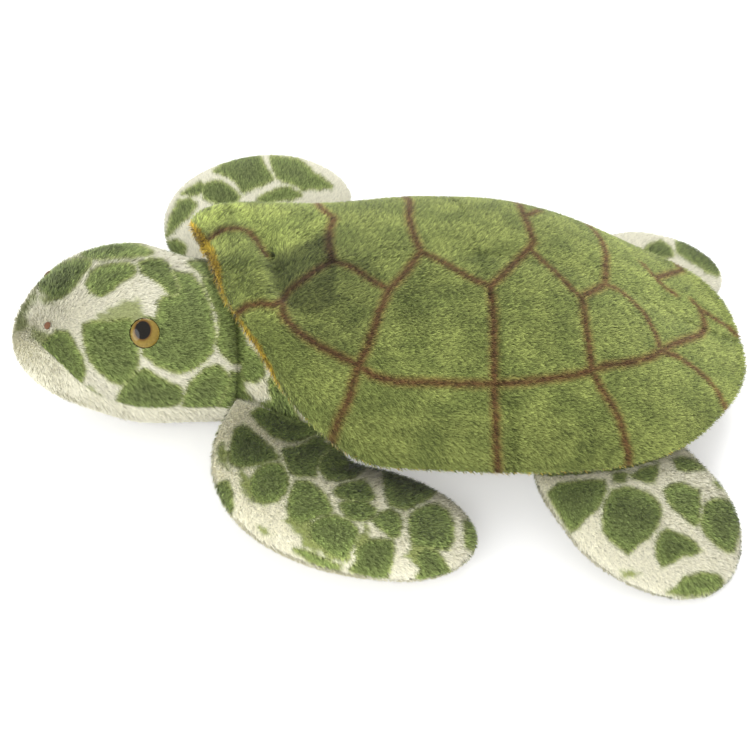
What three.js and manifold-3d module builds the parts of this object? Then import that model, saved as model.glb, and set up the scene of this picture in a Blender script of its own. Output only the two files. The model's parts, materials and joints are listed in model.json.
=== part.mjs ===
// A stuffed sea turtle lying on its belly, in millimetres, with +Z up.
// The nose points along -X, and the turtle's left side lies toward -Y.
import * as THREE from "three";
import { mergeVertices } from "three/addons/utils/BufferGeometryUtils.js";
import Module from "manifold-3d";

const wasm = await Module();
wasm.setup();

// Cloth, seams and clearances
const pileCloth = 2.2; // plush cloth with its pile pressed down
const liningCloth = 1.4;
const seamGap = 0.3; // between neighbouring soft pieces
const sideSeamGap = 0.4; // between the back and belly panels, whose seam curves up to the neck
const hingeGap = 0.4; // between a limb's sewn edge and the body
const neckGap = 0.6; // between the head and the round neck that it turns on
const paddingGap = 0.7; // between the shell's cover and its padding
const restCut = 0.5; // how deep the belly is cut flat

// Body: a round neck, then shoulders, and a rump that rounds off
const neckRadius = 36;
const neckX = -78; // middle of the round neck
const neckZ = 41;
const trunkLength = 228; // from the neck's middle to the rear end
const trunkHalfWidth = 68;
const trunkHalfHeight = 33;
const shoulderLength = 46;
const rumpLength = 92;
const rumpEndZ = 16; // height of the rear end
const trunkSquareness = 2.35;

// Head
const noseX = -195;
const headLength = 120;
const headHalfWidth = 46;
const headHalfHeight = 47;
const headSquareness = 2.15;
const snoutRound = 42;
const napeRound = 32;
const headHeights = [48, 53, 50, 44, 41.5]; // of the head's middle, from nose to nape
const headWidthShares = [0.8, 0.95, 1, 0.98, 0.95];
const headHeightShares = [0.62, 0.74, 0.98, 0.87, 0.85];
const chinTurn = 30; // degrees below the head's middle where the chin panel starts

// Eyes and nostrils
const eyeRadius = 7.5;
const eyeRise = 3.2; // of the dome
const eyeFlange = 1;
const shankRadius = 2.2;
const shankLength = 11;
const shankFit = 0.2; // clearance round the shank
const washerRadius = 8;
const washerThickness = 2;
const washerDepth = 4.1; // of the washer's near face below the cloth's outer face
const eyeSetback = 68.5; // from the nose tip along the head
const eyeTurn = 41; // degrees above the head's middle
const nostrilRadius = 1.8;
const nostrilRise = 1;
const nostrilSetback = 19.5;
const nostrilTurn = 52.5;

// Shell: cover, padding and lining, joined at the rim
const shellFrontX = -94;
const shellLength = 300;
const shellHalfWidth = 110;
const shellSquareness = 2.5;
const crownHeight = 98; // of the cover's top
const rimHeights = [86, 70, 55, 44, 39, 34, 27]; // of the rim, from the front round to the tail
const domeRun = [2.2, 2.3, 2.4, 2.3, 2.1, 2, 2]; // how late the dome turns down, front to tail
const domeFall = [0.5, 0.5, 0.55, 0.62, 0.88, 1.2, 1.4]; // how steeply it then falls
const liningRun = [3, 3, 3, 3, 2.8, 2.5, 2.4];
const liningFall = [1, 1, 1, 1, 1.1, 1.2, 1.3];
const hemShare = 0.965; // share of the radius where the flat hem starts
// Where the soft hem has been pushed out of line: the turn from the front, in degrees and
// positive on the right side, how far round it spreads, and how far it moves
const hemFolds = [
  { turn: 29, spread: 17, push: [-5, 6, 9] },
  { turn: -23, spread: 20, push: [12, 3.5, 7.5] },
];

// Front and rear flippers, drawn in their hinge's frame: x along the seam, y outward
const frontFlipper = {
  seamX: -52, // middle of the sewn edge
  seamZ: 36,
  seamYaw: 32, // degrees that the seam faces forward
  tipRound: 46,
  halfWidth: 34,
  halfHeight: 13.5,
  widthShares: [0.95, 1.06, 1.12, 1.08, 0.98],
  heightShares: [0.12, 0.78, 1, 0.94, 0.78],
};
const rearFlipper = {
  seamX: 101,
  seamZ: 26,
  seamYaw: -22,
  tipRound: 54,
  halfWidth: 48,
  halfHeight: 12,
  widthShares: [0.68, 0.96, 1.05, 1.03, 0.96],
  heightShares: [0.13, 0.85, 1, 0.94, 0.8],
};
// Each limb lies as it fell: reach is its length along the middle, turns are degrees of sweep
// along it, dropHeight is how far its tip sinks, droop is the tilt at its seam, and lean tilts its
// section
const limbs = [
  {
    name: "front_left",
    side: -1,
    form: frontFlipper,
    reach: 152,
    turns: [0, 40, 98, 122, 124],
    dropHeight: 20,
    droop: 8,
    lean: 12,
  },
  {
    name: "front_right",
    side: 1,
    form: frontFlipper,
    reach: 162,
    turns: [0, 18, 66, 108, 126],
    dropHeight: 10,
    droop: 1,
    lean: 6,
  },
  {
    name: "rear_left",
    side: -1,
    form: rearFlipper,
    reach: 117,
    turns: [0, 3, 2, 0, 0],
    dropHeight: 8,
    droop: 6,
    lean: 4,
  },
  {
    name: "rear_right",
    side: 1,
    form: rearFlipper,
    reach: 126,
    turns: [0, 50, 68, 56, 48],
    dropHeight: -3,
    droop: 8,
    lean: 4,
  },
];

// How finely each form is divided: rows along it and columns round it
const trunkGrid = { rows: 16, columns: 18 };
const headGrid = { rows: 13, skinColumns: 16, chinColumns: 8 };
const shellGridSize = { rows: 8, columns: 28 };
const flipperGrid = { rows: 12, columns: 14, fillingFrom: 2 };
const roundSegments = 18;

// Colours
const colours = {
  limbGreen: 0x4f6b3a,
  shellGreen: 0x7c9150,
  cream: 0xefebdd,
  gold: 0xb39a2d,
  filling: 0xf6f5f0,
  amber: 0xb98f3c,
  washer: 0xe6e6e2,
  thread: 0x6b4e2b,
};
const roughnesses = { cloth: 0.95, eye: 0.1, washer: 0.5 };

const radians = THREE.MathUtils.degToRad;
const fullTurn = 2 * Math.PI;
const halfTurn = Math.PI;
const tiny = 1e-9;

// Reads evenly spaced values as one smooth run, for share from 0 to 1.
function smoothRun(values) {
  const points = values.map((value, i) => new THREE.Vector2(i, value));
  const curve = new THREE.SplineCurve(points);
  return (share) => curve.getPoint(THREE.MathUtils.clamp(share, 0, 1)).y;
}

// A section's size at s, as a share, where the form's ends round off.
function roundOff(form, s, inset) {
  const beforeStart = form.startRound - s;
  const pastEnd = s - (form.length - form.endRound);
  const over = Math.max(
    beforeStart > 0 ? beforeStart / (form.startRound - inset) : 0,
    pastEnd > 0 ? pastEnd / (form.endRound - inset) : 0,
  );
  return over > 1 - tiny ? 0 : Math.sqrt(1 - over * over);
}

// A point on a soft form, at s along it and at an angle round its section.
function formPoint(form, s, angle, inset = 0) {
  const rounding = roundOff(form, s, inset);
  const power = 2 / form.squareness(s);
  const cos = Math.cos(angle);
  const sin = Math.sin(angle);
  const wide = Math.max(form.halfWidth(s) - inset, 0) * rounding;
  const high = Math.max(form.halfHeight(s) - inset, 0) * rounding;
  const { middle, across, tall } = form.section(s);
  return middle
    .addScaledVector(across, Math.sign(cos) * Math.abs(cos) ** power * wide)
    .addScaledVector(tall, Math.sign(sin) * Math.abs(sin) ** power * high);
}

// Rows of points on a form, closer together where its ends round off.
function formGrid(form, options) {
  const { inset = 0, from = 0, isRing = false, firstRow = 0 } = options;
  const { rows, columns, shift = 0, floor = -Infinity } = options;
  const to = isRing ? from + fullTurn : options.to;
  const start = form.startRound > 0 ? inset : 0;
  const grid = [];
  for (let i = firstRow; i <= rows; i += 1) {
    const evenly = (form.length * (1 - Math.cos((halfTurn * i) / rows))) / 2;
    const s = THREE.MathUtils.clamp(evenly, start, form.length - inset);
    const row = [];
    for (let j = 0; j <= columns; j += 1) {
      const angle = from + ((to - from) * (isRing ? j % columns : j)) / columns;
      const point = formPoint(form, s, angle, inset);
      point.z = Math.max(point.z + shift, floor);
      row.push(point);
    }
    grid.push(row);
  }
  return grid;
}

// Adds the four-cornered faces between a grid's rows.
function addSheet(corners, grid, reversed = false) {
  for (let i = 1; i < grid.length; i += 1) {
    for (let j = 1; j < grid[i].length; j += 1) {
      const [a, b, c, d] = [grid[i - 1][j - 1], grid[i][j - 1], grid[i][j], grid[i - 1][j]];
      addQuad(corners, reversed ? [a, d, c, b] : [a, b, c, d]);
    }
  }
}

function addQuad(corners, [a, b, c, d]) {
  corners.push(a, b, c, a, c, d);
}

// Joins two boundaries, walked the same way, with a strip of faces.
function addStrip(corners, outer, inner) {
  for (let i = 1; i < outer.length; i += 1) {
    addQuad(corners, [outer[i], outer[i - 1], inner[i - 1], inner[i]]);
  }
}

// One closed geometry from loose corners: shared points merged, empty faces dropped, facing out.
function closeBody(corners) {
  const loose = new THREE.BufferGeometry().setFromPoints(corners);
  const merged = mergeVertices(loose);
  const { array } = merged.getIndex();
  const kept = [];
  for (let i = 0; i < array.length; i += 3) {
    const [a, b, c] = [array[i], array[i + 1], array[i + 2]];
    if (a !== b && b !== c && c !== a) kept.push(a, b, c);
  }
  merged.setIndex(signedVolume(merged, kept) < 0 ? kept.reverse() : kept);
  merged.computeVertexNormals();
  return merged;
}

function signedVolume(geometry, index) {
  const position = geometry.getAttribute("position");
  const corner = (i) => new THREE.Vector3().fromBufferAttribute(position, index[i]);
  let volume = 0;
  for (let i = 0; i < index.length; i += 3) {
    volume += corner(i).dot(corner(i + 1).cross(corner(i + 2)));
  }
  return volume;
}

// A piece of cloth between two grids. A panel is open at its sides, a cap goes all the way round.
function clothBody(outer, inner, isCap = false) {
  const corners = [];
  addSheet(corners, outer);
  addSheet(corners, inner, true);
  const side = outer[0].length - 1;
  const column = (grid, j) => grid.map((row) => row[j]);
  addStrip(corners, outer.at(-1), inner.at(-1));
  addStrip(corners, [...outer[0]].reverse(), [...inner[0]].reverse());
  if (!isCap) {
    addStrip(corners, column(outer, 0), column(inner, 0));
    addStrip(corners, column(outer, side).reverse(), column(inner, side).reverse());
  }
  return closeBody(corners);
}

// A solid inside one grid that goes all the way round, with its ends closed.
function solidBody(grid) {
  const corners = [];
  addSheet(corners, grid);
  for (const [row, isEnd] of [[grid[0], false], [grid[grid.length - 1], true]]) {
    const hub = new THREE.Vector3();
    for (const point of row.slice(1)) hub.addScaledVector(point, 1 / (row.length - 1));
    for (let j = 1; j < row.length; j += 1) {
      if (isEnd) corners.push(hub, row[j], row[j - 1]);
      else corners.push(hub, row[j - 1], row[j]);
    }
  }
  return closeBody(corners);
}

// Cuts: geometry to solid, solid to geometry, and one piece less others.
function toSolid(geometry) {
  const bare = geometry.clone();
  bare.deleteAttribute("normal");
  bare.deleteAttribute("uv");
  const merged = mergeVertices(bare);
  const vertProperties = new Float32Array(merged.getAttribute("position").array);
  const triVerts = new Uint32Array(merged.getIndex().array);
  return new wasm.Manifold(new wasm.Mesh({ numProp: 3, vertProperties, triVerts }));
}

function fromSolid(solid) {
  const { vertProperties, triVerts } = solid.getMesh();
  const geometry = new THREE.BufferGeometry();
  geometry.setAttribute("position", new THREE.BufferAttribute(vertProperties, 3));
  geometry.setIndex(new THREE.BufferAttribute(triVerts, 1));
  geometry.computeVertexNormals();
  return geometry;
}

function cutBy(geometry, tools) {
  let solid = toSolid(geometry);
  for (const tool of tools) solid = solid.subtract(toSolid(tool));
  return fromSolid(solid);
}

// Turned pieces: a profile of [radius, height] pairs about the Y axis.
function turned(profile, segments) {
  const points = profile.map(([radius, height]) => new THREE.Vector2(radius, height));
  const position = new THREE.LatheGeometry(points, segments).toNonIndexed().getAttribute("position");
  const corner = (_, i) => new THREE.Vector3().fromBufferAttribute(position, i);
  return closeBody(Array.from({ length: position.count }, corner));
}

function domeProfile(radius, base, rise, steps) {
  const profile = [];
  for (let i = 0; i <= steps; i += 1) {
    const turn = (halfTurn * i) / (2 * steps);
    profile.push([i === steps ? 0 : radius * Math.cos(turn), base + rise * Math.sin(turn)]);
  }
  return profile;
}

function addMesh(parent, name, geometry, colour, roughness = roughnesses.cloth) {
  const material = new THREE.MeshStandardMaterial({ color: colour, roughness });
  const mesh = new THREE.Mesh(geometry, material);
  mesh.name = name;
  parent.add(mesh);
  return mesh;
}

// Trunk
const shoulderShare = (s) => THREE.MathUtils.smoothstep(s, neckRadius, neckRadius + shoulderLength);
const trunkSpan = neckRadius + trunkLength;
const trunk = {
  length: trunkSpan,
  startRound: neckRadius,
  endRound: rumpLength,
  halfWidth: (s) => THREE.MathUtils.lerp(neckRadius, trunkHalfWidth, shoulderShare(s)),
  halfHeight: (s) => THREE.MathUtils.lerp(neckRadius, trunkHalfHeight, shoulderShare(s)),
  squareness: (s) => THREE.MathUtils.lerp(2, trunkSquareness, shoulderShare(s)),
  section(s) {
    const rumpShare = Math.max(0, 1 - (trunkSpan - s) / rumpLength);
    const restingZ = THREE.MathUtils.lerp(trunkHalfHeight - restCut, rumpEndZ, rumpShare * rumpShare);
    const z = THREE.MathUtils.lerp(neckZ, restingZ, shoulderShare(s));
    return {
      middle: new THREE.Vector3(neckX - neckRadius + s, 0, z),
      across: new THREE.Vector3(0, 1, 0),
      tall: new THREE.Vector3(0, 0, 1),
    };
  },
};
const trunkTop = 2 * trunkHalfHeight - restCut;

function addTrunk(parent) {
  const { rows, columns } = trunkGrid;
  const halves = [
    { name: "back_panel", from: 0, shift: sideSeamGap / 2, colour: colours.limbGreen },
    { name: "belly_panel", from: halfTurn, shift: -sideSeamGap / 2, colour: colours.cream },
  ];
  for (const { name, from, shift, colour } of halves) {
    const shape = { from, to: from + halfTurn, rows, columns: columns / 2, shift };
    const outer = formGrid(trunk, { ...shape, floor: 0 });
    const inner = formGrid(trunk, { ...shape, inset: pileCloth, floor: pileCloth });
    addMesh(parent, name, clothBody(outer, inner), colour);
  }
  const inset = pileCloth + seamGap;
  const filling = formGrid(trunk, { inset, isRing: true, rows, columns, floor: inset });
  addMesh(parent, "body_filling", solidBody(filling), colours.filling);
}

// Head, eyes and nostrils
const headHeightRun = smoothRun(headHeights);
const headWidthRun = smoothRun(headWidthShares);
const headTallRun = smoothRun(headHeightShares);
const head = {
  length: headLength,
  startRound: snoutRound,
  endRound: napeRound,
  halfWidth: (s) => headHalfWidth * headWidthRun(s / headLength),
  halfHeight: (s) => headHalfHeight * headTallRun(s / headLength),
  squareness: () => headSquareness,
  section: (s) => ({
    middle: new THREE.Vector3(noseX + s, 0, headHeightRun(s / headLength)),
    across: new THREE.Vector3(0, 1, 0),
    tall: new THREE.Vector3(0, 0, 1),
  }),
};

// A frame on the head's cloth, with its Y axis pointing straight out.
function headSpot(setback, turn, side) {
  const step = radians(1);
  const angle = side > 0 ? radians(turn) : halfTurn - radians(turn);
  const point = formPoint(head, setback, angle);
  const alongHead = formPoint(head, setback + step * headHalfWidth, angle).sub(point);
  const round = formPoint(head, setback, angle + step).sub(point);
  const spot = new THREE.Group();
  spot.position.copy(point);
  const outward = alongHead.cross(round).normalize().negate();
  spot.quaternion.setFromUnitVectors(new THREE.Vector3(0, 1, 0), outward);
  return spot;
}

function eyeGeometry() {
  const base = seamGap + eyeFlange;
  const shank = [[0, -shankLength], [shankRadius, -shankLength], [shankRadius, seamGap]];
  const dome = domeProfile(eyeRadius, base, eyeRise - eyeFlange, roundSegments / 3);
  return turned([...shank, [eyeRadius, seamGap], ...dome], roundSegments);
}

function washerGeometry() {
  const bore = shankRadius + shankFit;
  const far = -washerDepth - washerThickness;
  const near = -washerDepth;
  const corners = [[bore, far], [washerRadius, far], [washerRadius, near], [bore, near], [bore, far]];
  return turned(corners, roundSegments);
}

function addHead(parent) {
  const spots = [-1, 1].map((side) => ({ side, spot: headSpot(eyeSetback, eyeTurn, side) }));
  const placed = (geometry, spot) => {
    spot.updateMatrix();
    return geometry.clone().applyMatrix4(spot.matrix);
  };
  const neckCut = new THREE.SphereGeometry(neckRadius + neckGap, 28, 18).translate(neckX, 0, neckZ);
  const roundBar = (radius, halfLength) => {
    return new THREE.CylinderGeometry(radius, radius, 2 * halfLength, roundSegments);
  };
  const shankHole = roundBar(shankRadius + shankFit, shankLength);
  const pocket = roundBar(washerRadius + seamGap, shankLength + seamGap);
  const { rows, skinColumns, chinColumns } = headGrid;
  const chin = radians(chinTurn);

  const skinShape = { from: -chin, to: halfTurn + chin, rows, columns: skinColumns };
  const skinOuter = formGrid(head, skinShape);
  const skinInner = formGrid(head, { ...skinShape, inset: pileCloth });
  const skinCuts = [neckCut, ...spots.map(({ spot }) => placed(shankHole, spot))];
  addMesh(parent, "head_panel", cutBy(clothBody(skinOuter, skinInner), skinCuts), colours.limbGreen);

  const chinShape = { from: halfTurn + chin, to: fullTurn - chin, rows, columns: chinColumns };
  chinShape.shift = -seamGap / Math.cos(chin);
  const chinInner = formGrid(head, { ...chinShape, inset: pileCloth });
  const chinPanel = clothBody(formGrid(head, chinShape), chinInner);
  addMesh(parent, "chin_panel", cutBy(chinPanel, [neckCut]), colours.cream);

  const inset = pileCloth + seamGap;
  const columns = skinColumns + chinColumns;
  const filling = solidBody(formGrid(head, { inset, from: -chin, isRing: true, rows, columns }));
  const pockets = spots.map(({ spot }) => placed(pocket, spot));
  addMesh(parent, "head_filling", cutBy(filling, [neckCut, ...pockets]), colours.filling);

  for (const { side, spot } of spots) {
    const suffix = side < 0 ? "left" : "right";
    parent.add(spot);
    addMesh(spot, `eye_${suffix}`, eyeGeometry(), colours.amber, roughnesses.eye);
    const washer = washerGeometry();
    addMesh(spot, `eye_washer_${suffix}`, washer, colours.washer, roughnesses.washer);
    const nostril = headSpot(nostrilSetback, nostrilTurn, side);
    parent.add(nostril);
    const dome = domeProfile(nostrilRadius, seamGap, nostrilRise, 2);
    const stitch = turned([[0, seamGap], ...dome], roundSegments / 2);
    addMesh(nostril, `nostril_${suffix}`, stitch, colours.thread);
  }
}

// Shell: everything is a function of the radius share and the turn from front to tail
const rimRun = smoothRun(rimHeights);
const domeLate = smoothRun(domeRun);
const domeSteep = smoothRun(domeFall);
const liningLate = smoothRun(liningRun);
const liningSteep = smoothRun(liningFall);
const liningCrown = trunkTop + seamGap + liningCloth;

function shellPoint(share, turn, inset, height, lift) {
  const power = 2 / shellSquareness;
  const cos = Math.cos(turn);
  const sin = Math.sin(turn);
  const backward = -Math.sign(cos) * Math.abs(cos) ** power * (shellLength / 2 - inset) * share;
  const x = shellFrontX + shellLength / 2 + backward;
  const y = Math.sign(sin) * Math.abs(sin) ** power * (shellHalfWidth - inset) * share;
  const toTail = turn > halfTurn ? 2 - turn / halfTurn : turn / halfTurn;
  return new THREE.Vector3(x, y, height(share, toTail, inset) + lift).add(hemFold(share, turn));
}

function hemFold(share, turn) {
  const fromFront = turn > halfTurn ? turn - fullTurn : turn;
  const total = new THREE.Vector3();
  for (const { turn: middle, spread, push } of hemFolds) {
    const away = (fromFront - radians(middle)) / radians(spread);
    total.addScaledVector(new THREE.Vector3(...push), Math.exp(-away * away) * share ** 4);
  }
  return total;
}

function domeZ(share, toTail, inset) {
  const rim = rimRun(toTail);
  return rim + (crownHeight - inset - rim) * (1 - share ** domeLate(toTail)) ** domeSteep(toTail);
}

function liningZ(share, toTail) {
  const edge = rimRun(toTail) - seamGap;
  const outward = Math.min(1, share / hemShare);
  return edge + (liningCrown - edge) * (1 - outward ** liningLate(toTail)) ** liningSteep(toTail);
}

// Rings of points from the crown out to the hem, then through the shares beyond it.
function shellGrid(inset, height, lift, beyondHem) {
  const { rows, columns } = shellGridSize;
  const outward = (_, i) => hemShare * Math.sin((halfTurn * i) / (2 * rows));
  const shares = Array.from({ length: rows + 1 }, outward);
  const turn = (j) => (fullTurn * (j % columns)) / columns;
  const ring = (share) => {
    const spot = (_, j) => shellPoint(share, turn(j), inset, height, lift);
    return Array.from({ length: columns + 1 }, spot);
  };
  return [...shares, ...beyondHem].map(ring);
}

function addShell(parent) {
  const domeEdge = [(1 + hemShare) / 2, (3 + hemShare) / 4, 1];
  const dome = (inset) => shellGrid(inset, domeZ, 0, domeEdge);
  addMesh(parent, "shell_cover", clothBody(dome(0), dome(pileCloth), true), colours.shellGreen);
  const top = dome(pileCloth + paddingGap);
  const bottom = [...shellGrid(0, liningZ, seamGap, []), top.at(-1)];
  addMesh(parent, "shell_padding", clothBody(top, bottom, true), colours.filling);
  const lining = (lift) => shellGrid(0, liningZ, lift, [1]);
  addMesh(parent, "shell_lining", clothBody(lining(0), lining(-liningCloth), true), colours.gold);
}

// Flippers: a path in the hinge's frame, swept by turns, with its tip sagging
function flipperForm({ form, reach, turns, dropHeight, lean }) {
  const turnRun = smoothRun(turns);
  const steps = 48;
  const spots = [new THREE.Vector3()];
  for (let i = 1; i <= steps; i += 1) {
    const turn = radians(turnRun((i - 0.5) / steps));
    const step = new THREE.Vector3(Math.sin(turn), Math.cos(turn), 0).multiplyScalar(reach / steps);
    spots.push(spots[i - 1].clone().add(step));
  }
  const path = new THREE.CatmullRomCurve3(spots);
  const widthRun = smoothRun(form.widthShares);
  const heightRun = smoothRun(form.heightShares);
  return {
    length: reach,
    startRound: 0,
    endRound: form.tipRound,
    halfWidth: (s) => form.halfWidth * widthRun(s / reach),
    halfHeight: (s) => form.halfHeight * heightRun(s / reach),
    squareness: () => 2,
    section(s) {
      const share = Math.min(s / reach, 1);
      const turn = radians(turnRun(share));
      const tilt = radians(lean) * THREE.MathUtils.smoothstep(share, 0, 0.5);
      const across = new THREE.Vector3(-Math.cos(turn), Math.sin(turn), 0);
      const tall = new THREE.Vector3(0, 0, 1);
      const outward = new THREE.Vector3(Math.sin(turn), Math.cos(turn), 0);
      return {
        middle: path.getPoint(share).setZ(-dropHeight * share * share),
        across: across.applyAxisAngle(outward, tilt),
        tall: tall.applyAxisAngle(outward, tilt),
      };
    },
  };
}

// Where the hinge line lies: just clear of the trunk's side all along the sewn edge.
function seamPlace({ form, yaw }) {
  const out = new THREE.Vector2(-Math.sin(yaw), Math.cos(yaw));
  const along = new THREE.Vector2(Math.cos(yaw), Math.sin(yaw));
  const { rows, columns } = trunkGrid;
  const sideRun = formGrid(trunk, { to: halfTurn, rows, columns }).map(([point]) => point);
  const points = [];
  for (let i = 1; i <= rows; i += 1) {
    for (let share = 0; share < 1; share += 1 / columns) {
      const point = sideRun[i - 1].clone().lerp(sideRun[i], share);
      points.push(new THREE.Vector2(point.x, point.y));
    }
  }
  const seamPoint = points.find((point) => point.x >= form.seamX);
  const middle = seamPoint.dot(along);
  const rootHalf = form.halfWidth * form.widthShares[0];
  const near = points.filter((point) => Math.abs(point.dot(along) - middle) <= rootHalf);
  const reach = Math.max(...near.map((point) => point.dot(out))) + hingeGap;
  return out.clone().multiplyScalar(reach).addScaledVector(along, middle);
}

function addFlipper(parent, limb) {
  const { name, side, form, droop } = limb;
  const yaw = radians(form.seamYaw);
  const place = seamPlace({ form, yaw });
  const mirrored = new THREE.Group();
  mirrored.scale.y = side;
  const hinge = new THREE.Group();
  hinge.name = `${name}_hinge`;
  hinge.position.set(place.x, place.y, form.seamZ);
  hinge.rotation.set(-radians(droop), 0, yaw, "ZYX");
  mirrored.add(hinge);
  parent.add(mirrored);

  const shape = flipperForm(limb);
  const { rows, columns, fillingFrom } = flipperGrid;
  const halves = [
    { panel: "top", from: 0, shift: seamGap / 2, colour: colours.limbGreen },
    { panel: "underside", from: halfTurn, shift: -seamGap / 2, colour: colours.cream },
  ];
  for (const { panel, from, shift, colour } of halves) {
    const half = { from, to: from + halfTurn, rows, columns: columns / 2, shift };
    const cloth = clothBody(formGrid(shape, half), formGrid(shape, { ...half, inset: pileCloth }));
    addMesh(hinge, `${name}_${panel}`, cloth, colour);
  }
  const inset = pileCloth + seamGap;
  const filling = formGrid(shape, { inset, isRing: true, firstRow: fillingFrom, rows, columns });
  addMesh(hinge, `${name}_filling`, solidBody(filling), colours.filling);
}

// Assembly: the whole turtle stands with its bottom centre at the origin
const turtle = new THREE.Group();
addTrunk(turtle);
addShell(turtle);
addHead(turtle);
for (const limb of limbs) addFlipper(turtle, limb);

turtle.updateMatrixWorld(true);
const box = new THREE.Box3().setFromObject(turtle, true);
const centre = box.getCenter(new THREE.Vector3());
turtle.position.set(-centre.x, -centre.y, -box.min.z);

const part = new THREE.Group();
part.add(turtle);
export default part;
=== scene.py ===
import json
import math
import bpy
import numpy as np
from mathutils import Matrix, Vector
from mathutils.bvhtree import BVHTree


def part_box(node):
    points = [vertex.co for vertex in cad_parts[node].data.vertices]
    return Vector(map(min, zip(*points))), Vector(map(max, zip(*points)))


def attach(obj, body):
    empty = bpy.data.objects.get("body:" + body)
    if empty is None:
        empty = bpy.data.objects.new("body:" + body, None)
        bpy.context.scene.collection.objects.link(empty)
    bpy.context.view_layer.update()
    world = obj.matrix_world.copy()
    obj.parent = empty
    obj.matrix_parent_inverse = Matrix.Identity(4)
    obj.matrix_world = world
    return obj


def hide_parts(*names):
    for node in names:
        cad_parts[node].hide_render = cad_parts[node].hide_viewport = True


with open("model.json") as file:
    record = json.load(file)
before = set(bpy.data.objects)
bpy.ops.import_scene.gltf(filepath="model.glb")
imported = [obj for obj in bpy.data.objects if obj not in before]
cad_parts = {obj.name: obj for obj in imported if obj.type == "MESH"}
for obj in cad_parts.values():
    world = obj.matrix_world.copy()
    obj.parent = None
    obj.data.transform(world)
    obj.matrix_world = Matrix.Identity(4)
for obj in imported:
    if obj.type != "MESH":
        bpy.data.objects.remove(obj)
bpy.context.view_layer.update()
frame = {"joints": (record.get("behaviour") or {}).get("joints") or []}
scene = bpy.context.scene
scene.view_settings.view_transform = "Standard"
toMetres = 0.001  # the forms below are drawn in millimetres, nose along -X
print("frame loaded")

# Where the turtle stands in the frame: its own origin lies on the middle line, and the shell's
# front edge at this X
shellFrontX = -94
shellLow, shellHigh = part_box("shell_cover")
stand = np.array([
    shellLow.x / toMetres - shellFrontX,
    (shellLow.y + shellHigh.y) / 2 / toMetres,
    0.0,
])
acrossAxis, upAxis = np.array([0.0, 1.0, 0.0]), np.array([0.0, 0.0, 1.0])


def inTurtle(points):
    return points / toMetres - stand


def inScene(points):
    return (points + stand) * toMetres


def linked(name, data):
    piece = bpy.data.objects.new(name, data)
    scene.collection.objects.link(piece)
    return piece


# The photograph's view of the toy. The markings are placed in its picture, so it stays as it is
markingView = {
    "azimuth": -12,
    "elevation": 40,
    "roll": 6,
    "distance": 930,
    "target": (-7, -41, 50),  # in millimetres from the turtle's own origin
    "lens": 85,
    "sensor": 36,
    "width": 750,  # of the picture, in pixels
}
cameraView = {**markingView}  # values changed here move only the camera


def viewAxes(view):
    turn, rise, roll = (math.radians(view[key]) for key in ("azimuth", "elevation", "roll"))
    back = np.array([
        math.sin(turn) * math.cos(rise),
        -math.cos(turn) * math.cos(rise),
        math.sin(rise),
    ])
    level = np.array([math.cos(turn), math.sin(turn), 0.0])
    upright = np.cross(back, level)
    right = level * math.cos(roll) + upright * math.sin(roll)
    up = upright * math.cos(roll) - level * math.sin(roll)
    target = np.array(view["target"], float)
    return right, up, back, target + back * view["distance"]


def addCamera():
    right, up, back, place = viewAxes(cameraView)
    data = bpy.data.cameras.new("photoCamera")
    data.lens = cameraView["lens"]
    data.sensor_width = cameraView["sensor"]
    data.clip_end = 50
    camera = linked("photoCamera", data)
    turned = Matrix((right, up, back)).transposed().to_4x4()
    camera.matrix_world = Matrix.Translation(Vector(inScene(place))) @ turned
    scene.camera = camera


addCamera()
viewRight, viewUp, viewBack, viewPlace = viewAxes(markingView)
viewScale = markingView["lens"] / markingView["sensor"] * markingView["width"]
viewMiddle = markingView["width"] / 2


def pixelsOf(points):
    offset = points - viewPlace
    depth = -(offset @ viewBack)
    return np.stack([
        viewMiddle + viewScale * (offset @ viewRight) / depth,
        viewMiddle - viewScale * (offset @ viewUp) / depth,
    ], axis=1)


def pixelRay(x, y):
    across, down = (x - viewMiddle) / viewScale, (y - viewMiddle) / viewScale
    direction = across * viewRight - down * viewUp - viewBack
    return direction / np.linalg.norm(direction)


# Curves and noise that all the forms share
def smoothRun(values):
    values = np.array(values, float)
    last = len(values) - 1

    def at(share):
        place = np.clip(share, 0, 1) * last
        i = np.minimum(np.floor(place).astype(int), last)
        t = place - i
        before = values[np.maximum(i - 1, 0)]
        here = values[i]
        after = values[np.minimum(i + 1, last)]
        beyond = values[np.minimum(i + 2, last)]
        start, end = (after - before) / 2, (beyond - here) / 2
        cubic = 2 * here - 2 * after + start + end
        square = -3 * here + 3 * after - 2 * start - end
        return ((cubic * t + square) * t + start) * t + here

    return at


def smoothStep(value, low, high):
    t = np.clip((value - low) / (high - low), 0, 1)
    return t * t * (3 - 2 * t)


def mixed(a, b, share):
    return a + (b - a) * share


def wavyNoise(points, size, seed):
    random = np.random.default_rng(seed)
    total = np.zeros(len(points))
    for octave in range(3):
        for _ in range(5):
            direction = random.normal(size=3)
            direction /= np.linalg.norm(direction)
            pitch = 2 * math.pi / size * 2 ** octave * random.uniform(0.7, 1.3)
            phase = random.uniform(0, 2 * math.pi)
            bend = 1.3 * np.sin(points[:, (octave + 1) % 3] * pitch * 0.43 + phase * 2)
            total += np.sin(points @ direction * pitch + phase + bend) / 2 ** octave
    return total / 5


def unit(vectors):
    return vectors / np.maximum(np.linalg.norm(vectors, axis=-1, keepdims=True), 1e-9)


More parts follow.
